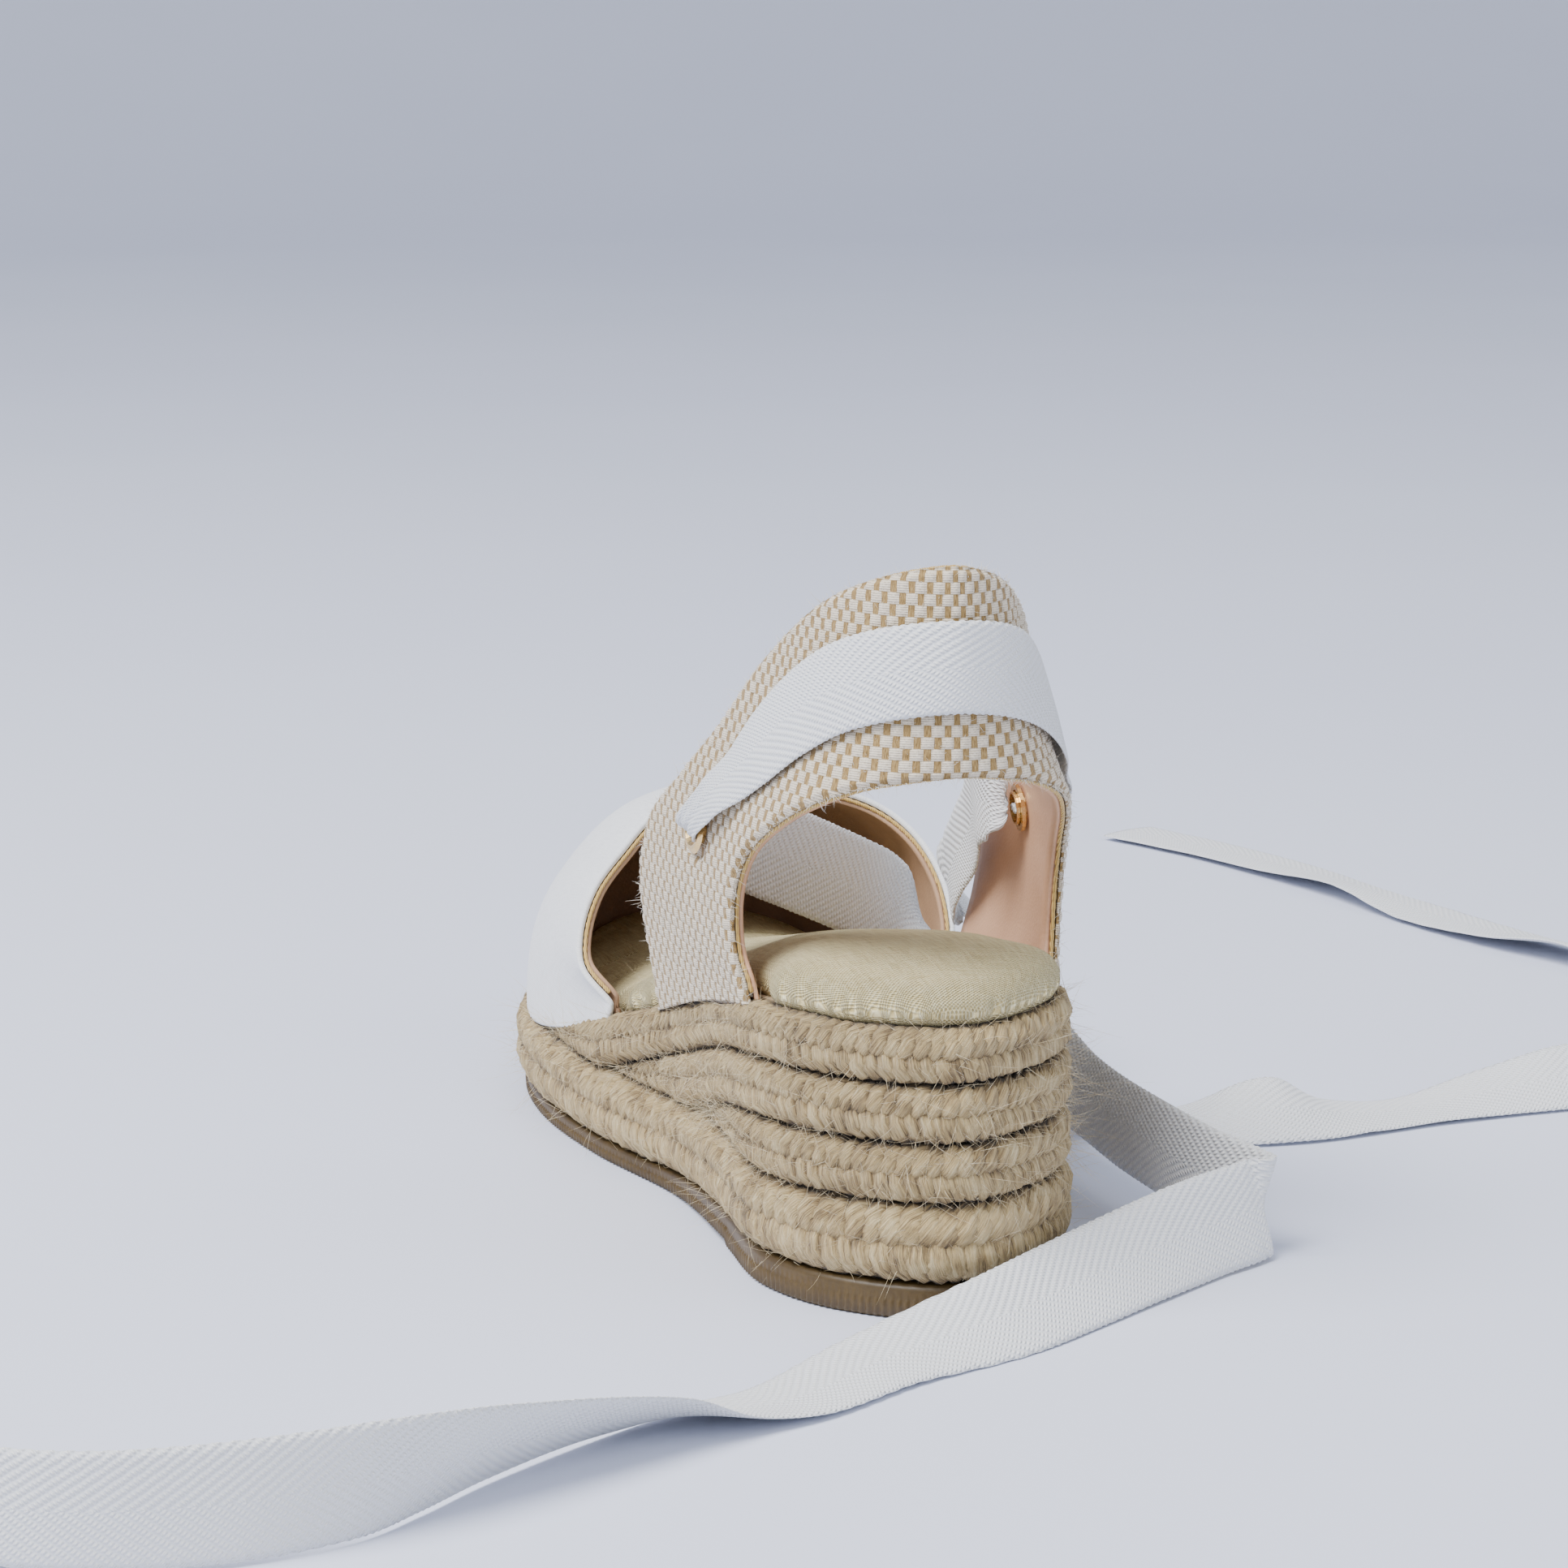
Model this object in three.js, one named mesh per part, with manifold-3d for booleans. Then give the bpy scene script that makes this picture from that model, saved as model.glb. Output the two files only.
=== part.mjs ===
// A closed-toe wedge espadrille sandal for the left foot, with a heel strap and a tape lace.
// Millimetres, +Z up, +Y from heel to toe, +X towards the inner side of the foot.
// The sole is a rubber outsole, a wedge core wrapped in four rows of jute braid, and a padded footbed.
// The toe cap and the heel strap are sewn between the braid and the footbed, and the lace runs round
// the back of the strap, through one eyelet on each side, and lies loose on the floor.
import * as THREE from "three";
import { mergeVertices } from "three/addons/utils/BufferGeometryUtils.js";
import Module from "manifold-3d";

// ---- driving dimensions -------------------------------------------------------------------------
const SOLE_LENGTH = 245;
const HEEL_HALF_WIDTH = 30.7;
const WAIST_OUTER = 32.4; // half-width on the little-toe side
const WAIST_INNER = 29.5;
const BALL_OUTER = 45.2;
const BALL_INNER = 43.5;
const TOE_TIP_SHIFT = 3; // the toe's tip leans towards the inner side
const HEEL_TOP = 53.8; // top of the braid under the heel
const TOE_TOP = 18.4; // top of the braid under the toes
const HEEL_TREAD = 2.7; // extra rubber under the heel
const OUTSOLE_THICKNESS = 3.7;
const TOE_SPRING = 3.5;
const BOTTOM_ROW_HEIGHT = 14.8;
const TOP_ROW_HEIGHT = 10.4;
const MIDDLE_ROW_HEIGHT = 10.9;
const BRAID_DEPTH = 5;
const BOARD_THICKNESS = 1.4;
const FOAM_THICKNESS = 6.2;
const COVER_THICKNESS = 0.9;
const FABRIC_THICKNESS = 1.1;
const STIFFENER_THICKNESS = 0.5;
const LINING_THICKNESS = 0.8;
const STRAP_LOW_RISE = 45.6; // lower edge of the strap behind the heel, above the braid
const STRAP_HIGH_RISE = 82.2; // upper edge of the strap behind the heel, above the braid
const THROAT_RISE = 51; // top of the toe cap, above the braid under the toes
const EYELET_RADIUS = 5;
const EYELET_BORE = 2.8;
const EYELET_WALL = 0.4;
const EYELET_LIP = 0.7;
const TAPE_WIDTH = 19;
const TAPE_THICKNESS = 0.9;
const TAPE_GATHERED = 3.6; // width of the tape where it is gathered into an eyelet
const PIPING_RADIUS = 0.45;
const GAP = 0.3; // between pieces that touch

const wasm = await Module();
wasm.setup();
const { clamp, lerp, smoothstep } = THREE.MathUtils;
const vec = (x, y, z) => new THREE.Vector3(x, y, z);
const along = (share) => share * SOLE_LENGTH;

// ---- sole outline -------------------------------------------------------------------------------
// [place along the sole, outer half-width, inner half-width]
const GIRTHS = [
  [0.048, HEEL_HALF_WIDTH * 0.66, HEEL_HALF_WIDTH * 0.66],
  [0.125, HEEL_HALF_WIDTH * 0.985, HEEL_HALF_WIDTH * 0.985],
  [0.24, HEEL_HALF_WIDTH * 1.01, HEEL_HALF_WIDTH * 0.99],
  [0.385, WAIST_OUTER, WAIST_INNER],
  [0.53, lerp(WAIST_OUTER, BALL_OUTER, 0.68), lerp(WAIST_INNER, BALL_INNER, 0.66)],
  [0.67, BALL_OUTER, BALL_INNER],
  [0.8, BALL_OUTER * 0.925, BALL_INNER * 0.985],
  [0.905, BALL_OUTER * 0.675, BALL_INNER * 0.78],
  [0.968, BALL_OUTER * 0.355, BALL_INNER * 0.47],
];
const outlineCurve = new THREE.CatmullRomCurve3(
  [
    vec(0, 0, 0),
    ...GIRTHS.map(([share, , inner]) => vec(inner, along(share), 0)),
    vec(TOE_TIP_SHIFT, SOLE_LENGTH, 0),
    ...GIRTHS.toReversed().map(([share, outer]) => vec(-outer, along(share), 0)),
  ],
  true,
  "centripetal",
);
const OUTLINE_STEPS = 480;
const outlinePoints = outlineCurve.getSpacedPoints(OUTLINE_STEPS).slice(0, -1);

// A point of the outline moved inwards, and the direction that points out of the sole there.
function outlineAt(index, inset = 0) {
  const n = outlinePoints.length;
  const before = outlinePoints[(index - 1 + n) % n];
  const after = outlinePoints[(index + 1) % n];
  const out = vec(after.y - before.y, before.x - after.x, 0).normalize();
  return { point: outlinePoints[index % n].clone().addScaledVector(out, -inset), out };
}

// The outline moved inwards by inset(y), as the x of each side at a given y.
function sidesAt(inset) {
  const ring = outlinePoints.map(({ y }, i) => outlineAt(i, inset(y)).point);
  const tip = ring.reduce((best, p, i) => (p.y > ring[best].y ? i : best), 0);
  const inner = ring.slice(0, tip + 1);
  const outer = [...ring.slice(tip), ring[0]].reverse();
  const find = (side) => (y) => {
    const i = clamp(
      side.findIndex((p) => p.y >= y),
      1,
      side.length - 1,
    );
    const [a, b] = [side[i - 1], side[i]];
    return lerp(a.x, b.x, clamp((y - a.y) / (b.y - a.y || 1), 0, 1));
  };
  return { low: ring[0].y, high: ring[tip].y, inner: find(inner), outer: find(outer) };
}
const soleSides = sidesAt(() => 0);

// ---- heights along the sole ---------------------------------------------------------------------
const TREAD_END = along(0.235);
const heelLift = (y) => HEEL_TREAD * (1 - smoothstep(y, TREAD_END, along(0.46)));
const toeLift = (y) => TOE_SPRING * smoothstep(y, along(0.82), along(1.04));
const soleBottom = (y) => heelLift(y) + toeLift(y);
const braidBase = (y) => soleBottom(y) + OUTSOLE_THICKNESS + GAP;
const wedgeTop = (y) =>
  lerp(HEEL_TOP, TOE_TOP, smoothstep(y, along(0.08), along(0.775))) + toeLift(y);
const bottomRowTop = (y) => Math.min(braidBase(y) + BOTTOM_ROW_HEIGHT, wedgeTop(y));

// ---- solids -------------------------------------------------------------------------------------
// A closed body from rings of points, each with the same number of points. The rings run along the
// body; the first and the last are capped, unless the body closes on itself.
function loft(rings, closed = false) {
  const size = rings[0].length;
  const positions = rings.flat().flatMap((p) => [p.x, p.y, p.z]);
  const faces = [];
  const spans = closed ? rings.length : rings.length - 1;
  for (let i = 0; i < spans; i++) {
    const a = i * size;
    const b = ((i + 1) % rings.length) * size;
    for (let j = 0; j < size; j++) {
      const k = (j + 1) % size;
      faces.push(a + j, a + k, b + k, a + j, b + k, b + j);
    }
  }
  if (!closed) {
    const last = (rings.length - 1) * size;
    for (let low = 0, high = size - 1; high - low > 1; ) {
      faces.push(low, high, low + 1);
      faces.push(last + low, last + low + 1, last + high);
      low += 1;
      if (high - low < 2) break;
      faces.push(low, high, high - 1);
      faces.push(last + low, last + high - 1, last + high);
      high -= 1;
    }
  }
  return solid(positions, faces);
}

// The manifold of a list of positions and faces, turned so that its faces point outwards.
function solid(positions, faces) {
  const geometry = new THREE.BufferGeometry()
    .setAttribute("position", new THREE.Float32BufferAttribute(positions, 3))
    .setIndex(faces);
  return toManifold(geometry);
}

function toManifold(geometry) {
  const bare = new THREE.BufferGeometry().setAttribute("position", geometry.getAttribute("position"));
  bare.setIndex(geometry.index ?? [...Array(bare.getAttribute("position").count).keys()]);
  const merged = mergeVertices(bare, 1e-4);
  const make = (triVerts) =>
    new wasm.Manifold(
      new wasm.Mesh({ numProp: 3, vertProperties: merged.getAttribute("position").array, triVerts }),
    );
  const triVerts = new Uint32Array(merged.index.array);
  const made = make(triVerts);
  if (made.volume() >= 0) return made;
  for (let i = 0; i < triVerts.length; i += 3)
    [triVerts[i + 1], triVerts[i + 2]] = [triVerts[i + 2], triVerts[i + 1]];
  return make(triVerts);
}

function toGeometry(manifold) {
  const mesh = manifold.getMesh();
  const geometry = new THREE.BufferGeometry()
    .setAttribute("position", new THREE.BufferAttribute(new Float32Array(mesh.vertProperties), 3))
    .setIndex(new THREE.BufferAttribute(new Uint32Array(mesh.triVerts), 1));
  geometry.computeVertexNormals();
  return geometry;
}

// Places along the sole, closer together at the rounded heel and toe.
function stations(low, high, count = 38, extra = []) {
  const even = Array.from({ length: count + 1 }, (_, i) => {
    const t = i / count;
    return lerp(low, high, lerp(t, (1 - Math.cos(Math.PI * t)) / 2, 0.92));
  });
  return [...even, ...extra].sort((a, b) => a - b);
}

// A layer of the sole: sides is its outline, and section(y, x0, x1) gives its ring of points.
function soleLayer(inset, section, extra = []) {
  const sides = sidesAt(typeof inset === "function" ? inset : () => inset);
  const end = 0.15; // the end rings are this far from the tips, so that they keep a small width
  return loft(
    stations(sides.low + end, sides.high - end, 38, extra).map((y) =>
      section(y, sides.outer(y), sides.inner(y)),
    ),
  );
}
const slab = (low, high) => (y, x0, x1) => [
  vec(x0, y, low(y)),
  vec(x1, y, low(y)),
  vec(x1, y, high(y)),
  vec(x0, y, high(y)),
];

// ---- outsole, core and board ----------------------------------------------------------------------
const OUTSOLE_INSET = 1.6;
const ARCH_HOLLOW = 0.4; // share of the heel tread's height that is open in front of its step
const STEP_RUN = 0.4; // the front face of the heel tread leans forward by this much
function outsole() {
  const under = (y) => (y <= TREAD_END ? 0 : ARCH_HOLLOW * heelLift(y) + toeLift(y));
  return soleLayer(OUTSOLE_INSET, slab(under, (y) => soleBottom(y) + OUTSOLE_THICKNESS), [
    TREAD_END,
    TREAD_END + STEP_RUN,
  ]);
}
const coreTop = (y) => wedgeTop(y) - BOARD_THICKNESS - GAP;
const wedgeCore = () => soleLayer(BRAID_DEPTH + GAP, slab(braidBase, coreTop));
const insoleBoard = () =>
  soleLayer(BRAID_DEPTH + GAP, slab((y) => coreTop(y) + GAP, (y) => coreTop(y) + GAP + BOARD_THICKNESS));

// ---- jute braid -----------------------------------------------------------------------------------
// Height of each row at a place along the sole, from the bottom row up. The top row keeps its height,
// and what is left is shared by the two middle rows, the lower of which runs out first.
function rowEdges(y) {
  const free = wedgeTop(y) - bottomRowTop(y);
  const top = Math.min(free, TOP_ROW_HEIGHT);
  const upper = Math.min(free - top, MIDDLE_ROW_HEIGHT);
  return [
    braidBase(y),
    bottomRowTop(y),
    wedgeTop(y) - top - upper,
    wedgeTop(y) - top,
    wedgeTop(y),
  ];
}
const BRAID_BULGE = 1.2; // the middle of a row stands out from its edges
function braidSection(index, row) {
  const { point, out } = outlineAt(index, BRAID_BULGE);
  const at = (depth, share) => {
    const p = point.clone().addScaledVector(out, -depth);
    const edges = rowEdges(p.y);
    return p.setZ(lerp(edges[row] + (row ? GAP : 0), edges[row + 1], share));
  };
  return [
    at(BRAID_DEPTH - BRAID_BULGE, 0),
    at(0, 0),
    at(-BRAID_BULGE, 0.3),
    at(-BRAID_BULGE, 0.7),
    at(0, 1),
    at(BRAID_DEPTH - BRAID_BULGE, 1),
  ];
}
const ROW_STEP = 6; // outline points between two sections of a row
const LEAST_ROW = 1.5; // a row ends where it is thinner than this
function braidRow(row) {
  const indices = outlinePoints.map((_, i) => i).filter((i) => i % ROW_STEP === 0);
  const tall = (i) => {
    const edges = rowEdges(outlineAt(i, BRAID_BULGE).point.y);
    return edges[row + 1] - edges[row] > LEAST_ROW + GAP;
  };
  if (indices.every(tall)) return loft(indices.map((i) => braidSection(i, row)), true);
  const first = indices.findIndex((i) => !tall(i));
  const turned = [...indices.slice(first), ...indices.slice(0, first)].filter(tall);
  return loft(turned.map((i) => braidSection(i, row)));
}

// ---- layers of the strap and the toe cap, as depths below their outer surface ----------------------
const fabricDepths = { from: 0, to: FABRIC_THICKNESS };
const stiffenerDepths = {
  from: FABRIC_THICKNESS + GAP,
  to: FABRIC_THICKNESS + GAP + STIFFENER_THICKNESS,
};
const liningDepths = {
  from: stiffenerDepths.to + GAP,
  to: stiffenerDepths.to + GAP + LINING_THICKNESS,
};
const STACK = liningDepths.to;

// ---- footbed --------------------------------------------------------------------------------------
const FOOTBED_INSET = 1.4;
const STRAP_INSET = 1; // of the sewn edges from the edge of the sole
const CAP_INSET = 1.8;
const STRAP_FOOT_BACK = along(0.155);
const STRAP_FOOT_FRONT = along(0.41);
const CAP_END = along(0.502); // back end of the toe cap at the sole
// The pad is drawn in where the layers of the strap and of the toe cap pass between it and the edge.
const tucked = (edgeInset) => edgeInset + STACK + 3 * GAP - FOOTBED_INSET;
const TUCK_RUN = 5;
const TUCK_STARTS = [STRAP_FOOT_BACK - TUCK_RUN - 3, STRAP_FOOT_FRONT + 1.5, CAP_END - TUCK_RUN - 3];
const tuckedBy = (y, start) => smoothstep(y, start, start + TUCK_RUN);
const footbedTuck = (y) =>
  tucked(STRAP_INSET) * (tuckedBy(y, TUCK_STARTS[0]) - tuckedBy(y, TUCK_STARTS[1])) +
  (tucked(CAP_INSET) + GAP) * tuckedBy(y, TUCK_STARTS[2]);
const TUCK_STATIONS = TUCK_STARTS.flatMap((start) =>
  [0, 0.3, 0.5, 0.7, 1].map((share) => start + share * TUCK_RUN),
);
const ROUNDING = 3.4; // of the pad's upper edge
function padSection(low, high, shrink) {
  return (y, x0, x1) => {
    const width = x1 - x0;
    const r = Math.min(ROUNDING, width / 3);
    const top = high(y);
    const crown = Math.min(1, width / 60);
    return [
      vec(x0 + shrink, y, low(y)),
      vec(x1 - shrink, y, low(y)),
      vec(x1, y, lerp(low(y), top, 0.35)),
      vec(x1 - r * 0.25, y, top - r * 0.45),
      vec(x1 - r, y, top),
      vec(lerp(x0, x1, 0.5), y, top - 0.8 * crown),
      vec(x0 + r, y, top),
      vec(x0 + r * 0.25, y, top - r * 0.45),
      vec(x0, y, lerp(low(y), top, 0.35)),
    ];
  };
}
const padBase = (y) => wedgeTop(y) + GAP;
function footbedSolid(inset, low, high, shrink = 0) {
  return soleLayer((y) => inset + footbedTuck(y), padSection(low, high, shrink), TUCK_STATIONS);
}
const FOAM_INSET = FOOTBED_INSET + COVER_THICKNESS + GAP;
const foamTop = (y) => padBase(y) + FOAM_THICKNESS;
const footbedFoam = () => footbedSolid(FOAM_INSET + GAP, padBase, foamTop);
function footbedCover() {
  const skin = footbedSolid(FOOTBED_INSET, padBase, (y) => foamTop(y) + GAP + COVER_THICKNESS, 0.6);
  const room = footbedSolid(FOAM_INSET - GAP, (y) => padBase(y) - 2, (y) => foamTop(y) + GAP);
  return skin.subtract(room);
}

// ---- sheets: fabric, stiffener and lining cut from one curved surface -------------------------------
const SURFACE_STEP = 1e-3;
function outwards(surface, u, v, middle) {
  const step = (a, b) => surface(clamp(a, 0, 1), clamp(b, 0, 1));
  const du = step(u + SURFACE_STEP, v).sub(step(u - SURFACE_STEP, v));
  const dv = step(u, v + SURFACE_STEP).sub(step(u, v - SURFACE_STEP));
  const out = du.cross(dv).normalize();
  const away = surface(u, v).sub(middle);
  return out.dot(away) < 0 ? out.negate() : out;
}
// Where a sheet meets the braid its layers lie level with each other: level(u, v) says where.
function sheet(surface, middle, level, { from, to, us, vs, u0 = 0, u1 = 1, v0 = 0, v1 = 1 }) {
  const rings = [];
  for (let i = 0; i <= us; i++) {
    const u = lerp(u0, u1, i / us);
    const row = Array.from({ length: vs + 1 }, (_, j) => lerp(v0, v1, j / vs));
    const at = (depth) => (v) => {
      const out = outwards(surface, u, v, middle);
      if (level(u, v)) out.setZ(0).normalize();
      return surface(u, v).addScaledVector(out, -depth);
    };
    rings.push([...row.map(at(from)), ...row.toReversed().map(at(to))]);
  }
  return loft(rings);
}

// ---- heel strap -------------------------------------------------------------------------------------
const SEWN_LIFT = GAP + 0.1; // of a sheet's sewn edge above the braid
const footPoint = (y, side, inset) => {
  const x = side < 0 ? soleSides.outer(y) + inset : soleSides.inner(y) - inset;
  return vec(x, y, wedgeTop(y) + SEWN_LIFT);
};
// [inwards from the heel's half-width, place along the sole, share of the rise behind the heel]
const STRAP_LOWER = [
  [-1.2, 0.173, 0.14],
  [-1.7, 0.173, 0.36],
  [-0.8, 0.153, 0.56],
  [2.2, 0.108, 0.745],
  [7.2, 0.063, 0.88],
  [13.6, 0.034, 0.95],
  [21.4, 0.014, 0.985],
  [HEEL_HALF_WIDTH, 0.007, 1],
];
const STRAP_UPPER_OUTER = [
  [-4.6, 0.414, 0.02],
  [-6, 0.402, 0.14],
  [-5.6, 0.373, 0.29],
  [-3, 0.306, 0.43],
  [1, 0.245, 0.575],
  [5.8, 0.17, 0.765],
  [12.2, 0.092, 0.915],
  [20.5, 0.04, 0.98],
  [HEEL_HALF_WIDTH, 0.018, 1],
];
const STRAP_UPPER_INNER = [
  [-3.6, 0.405, 0.02],
  [-4.6, 0.395, 0.15],
  [-4.2, 0.366, 0.3],
  [-2.4, 0.306, 0.43],
  [1.4, 0.245, 0.57],
  [6.6, 0.165, 0.74],
  [13.6, 0.092, 0.885],
  [21.5, 0.04, 0.97],
  [HEEL_HALF_WIDTH, 0.018, 1],
];
function strapEdge(outerRows, innerRows, rise, footY) {
  const half = (side, rows) => [
    footPoint(footY, side, STRAP_INSET),
    ...rows.map(([inward, share, part]) =>
      vec(side * (HEEL_HALF_WIDTH - inward), along(share), HEEL_TOP + rise * part),
    ),
  ];
  return new THREE.CatmullRomCurve3([
    ...half(-1, outerRows),
    ...half(1, innerRows).reverse().slice(1),
  ]);
}
const strapLower = strapEdge(STRAP_LOWER, STRAP_LOWER, STRAP_LOW_RISE, STRAP_FOOT_BACK);
const strapUpper = strapEdge(
  STRAP_UPPER_OUTER,
  STRAP_UPPER_INNER,
  STRAP_HIGH_RISE,
  STRAP_FOOT_FRONT,
);
const strapMiddle = vec(0, along(0.3), HEEL_TOP + STRAP_LOW_RISE * 0.7);
// The sewn ends follow the slope of the wedge, and the rest of the strap is straight across.
const FOOT_REACH = 0.08;
function strapSurface(u, v) {
  const point = strapLower.getPoint(u).lerp(strapUpper.getPoint(u), v);
  const slope =
    wedgeTop(lerp(STRAP_FOOT_BACK, STRAP_FOOT_FRONT, v)) -
    lerp(wedgeTop(STRAP_FOOT_BACK), wedgeTop(STRAP_FOOT_FRONT), v);
  point.z += slope * (1 - smoothstep(Math.min(u, 1 - u), 0, FOOT_REACH));
  return point;
}
const strapSewn = (u) => u === 0 || u === 1;
const strapOut = (u, v) => outwards(strapSurface, u, v, strapMiddle);

const EDGE = 0.02; // the stiffener stops short of the strap's edges by this share of its width
const strapSheet = (depths, edge = 0) =>
  sheet(strapSurface, strapMiddle, strapSewn, { ...depths, us: 56, vs: 6, v0: edge, v1: 1 - edge });

// ---- eyelets ----------------------------------------------------------------------------------------
const EYELET_AT = { outer: 0.187, inner: 0.805 };
const EYELET_V = 0.5;
function eyeletFrame(u) {
  const out = strapOut(u, EYELET_V);
  const turn = new THREE.Quaternion().setFromUnitVectors(vec(0, 1, 0), out);
  return new THREE.Matrix4().compose(strapSurface(u, EYELET_V), turn, vec(1, 1, 1));
}
const EYELET_SIDES = 20;
const turned = (profile) =>
  new THREE.LatheGeometry(profile.map(([r, h]) => new THREE.Vector2(r, h)), EYELET_SIDES);
function eyeletHole(u) {
  const radius = EYELET_BORE + EYELET_WALL + GAP;
  const hole = new THREE.CylinderGeometry(radius, radius, 6 * STACK, EYELET_SIDES);
  return toManifold(hole.applyMatrix4(eyeletFrame(u)));
}
// The strap's own curve under the lip and the washer is cleared by this much.
const SEAT = 0.55;
const eyelet = (u) => {
  const barrel = EYELET_BORE + EYELET_WALL;
  const low = -STACK - SEAT - 2 * EYELET_LIP;
  return toManifold(
    turned([
      [EYELET_BORE, low],
      [barrel, low],
      [barrel, SEAT],
      [EYELET_RADIUS, SEAT],
      [EYELET_RADIUS - 0.8, SEAT + EYELET_LIP],
      [EYELET_BORE + 0.7, SEAT + EYELET_LIP],
      [EYELET_BORE, SEAT],
      [EYELET_BORE, low],
    ]).applyMatrix4(eyeletFrame(u)),
  );
};
const washer = (u) => {
  const bore = EYELET_BORE + EYELET_WALL + GAP;
  const high = -STACK - SEAT;
  const low = high - EYELET_LIP;
  return toManifold(
    turned([
      [bore, low],
      [EYELET_RADIUS - 0.4, low],
      [EYELET_RADIUS - 0.4, high],
      [bore, high],
      [bore, low],
    ]).applyMatrix4(eyeletFrame(u)),
  );
};

// ---- toe cap ----------------------------------------------------------------------------------------
// Its topline from the outer side to the inner: [x, place along the sole, share of the throat's rise]
const TOPLINE = [
  [-42, 0.529, 0.4],
  [-41.2, 0.554, 0.52],
  [-37.6, 0.574, 0.665],
  [-30.3, 0.604, 0.79],
  [-17.6, 0.646, 0.945],
  [1, 0.669, 1],
  [18, 0.666, 0.975],
  [29.5, 0.652, 0.9],
  [36.2, 0.627, 0.79],
  [39.6, 0.594, 0.64],
  [39.6, 0.561, 0.48],
];
const topline = new THREE.CatmullRomCurve3([
  footPoint(CAP_END, -1, CAP_INSET).add(vec(0.6, 0, 1.5)),
  ...TOPLINE.map(([x, share, part]) =>
    vec((x * BALL_OUTER) / 45.2, along(share), TOE_TOP + THROAT_RISE * part),
  ),
  footPoint(CAP_END, 1, CAP_INSET).add(vec(-0.6, 0, 1.5)),
]);
// The feather line runs along the sole's edge, from the cap's outer end round the toe to its inner end.
const capStart = outlinePoints.findLastIndex((p) => p.x < 0 && p.y >= CAP_END);
const capFinish = outlinePoints.findIndex((p) => p.x > 0 && p.y >= CAP_END);
function featherPoint(u) {
  const index = lerp(capStart, capFinish, u);
  const low = Math.floor(index);
  const a = outlineAt(low, CAP_INSET).point;
  const b = outlineAt(Math.min(low + 1, capStart), CAP_INSET).point;
  const p = a.lerp(b, index - low);
  return p.setZ(wedgeTop(p.y) + GAP + 0.1);
}
const DOME = 0.62;
function capSurface(u, v) {
  const top = topline.getPoint(u);
  const foot = featherPoint(u);
  const rise = top.z - foot.z;
  const reach = foot.clone().sub(top).setZ(0);
  return new THREE.CubicBezierCurve3(
    top,
    top.clone().addScaledVector(reach, 0.5).setZ(top.z - rise * 0.04),
    foot.clone().addScaledVector(reach, 0.04).setZ(foot.z + rise * DOME),
    foot,
  ).getPoint(v);
}
const capMiddle = vec(0, along(0.68), TOE_TOP);
const capSewn = (u, v) => v === 1;
const CAP_GRID = { us: 40, vs: 7 };
const capSheet = (depths, span = {}) =>
  sheet(capSurface, capMiddle, capSewn, { ...depths, ...CAP_GRID, ...span });
// The puff stiffens the front of the cap: it keeps to the cap's own grid.
const PUFF = {
  us: CAP_GRID.us * 0.4,
  vs: 3,
  u0: 0.3,
  u1: 0.7,
  v0: 3 / CAP_GRID.vs,
  v1: 6 / CAP_GRID.vs,
};

// ---- piping -----------------------------------------------------------------------------------------
// A thread laid along the edge of a sheet, just outside the joint between fabric and lining.
function piping(surface, middle, v, from, to, steps) {
  const beyond = PIPING_RADIUS + 1.4 * GAP;
  const points = Array.from({ length: steps + 1 }, (_, i) => {
    const u = lerp(from, to, i / steps);
    const edge = surface(u, v);
    const inside = surface(u, v < 0.5 ? v + 0.02 : v - 0.02);
    const away = edge.clone().sub(inside).normalize();
    const out = outwards(surface, u, v, middle);
    return edge.addScaledVector(away, beyond).addScaledVector(out, -(FABRIC_THICKNESS + STACK) / 2);
  });
  const section = new THREE.Shape();
  section.absarc(0, 0, PIPING_RADIUS, 0, 2 * Math.PI);
  return toManifold(
    new THREE.ExtrudeGeometry(section, {
      steps,
      curveSegments: 3,
      extrudePath: new THREE.CatmullRomCurve3(points),
    }),
  );
}

// ---- tape lace ----------------------------------------------------------------------------------------
// A run of tape: each point is [x, y, z, direction across the tape, width].
function tapeRun(points, steps, thickness = TAPE_THICKNESS) {
  const line = new THREE.CatmullRomCurve3(points.map(([p]) => p));
  const across = new THREE.CatmullRomCurve3(points.map(([, w]) => w));
  const width = (t) => {
    const at = t * (points.length - 1);
    const i = Math.min(Math.floor(at), points.length - 2);
    return lerp(points[i][2], points[i + 1][2], at - i);
  };
  const rings = Array.from({ length: steps + 1 }, (_, i) => {
    const t = i / steps;
    const centre = line.getPoint(t);
    const ahead = line.getTangent(t);
    const w = across.getPoint(t);
    w.addScaledVector(ahead, -w.dot(ahead)).normalize();
    const n = ahead.clone().cross(w).normalize();
    const half = width(t) / 2;
    // A narrow, gathered stretch is as thick as it is needed to be to hold the same cloth.
    const deep = lerp(1.5, thickness / 2, smoothstep(width(t), TAPE_GATHERED, TAPE_WIDTH * 0.7));
    return [
      [-1, -1],
      [1, -1],
      [1, 1],
      [-1, 1],
    ].map(([a, b]) => centre.clone().addScaledVector(w, a * half).addScaledVector(n, b * deep));
  });
  return loft(rings);
}
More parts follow.
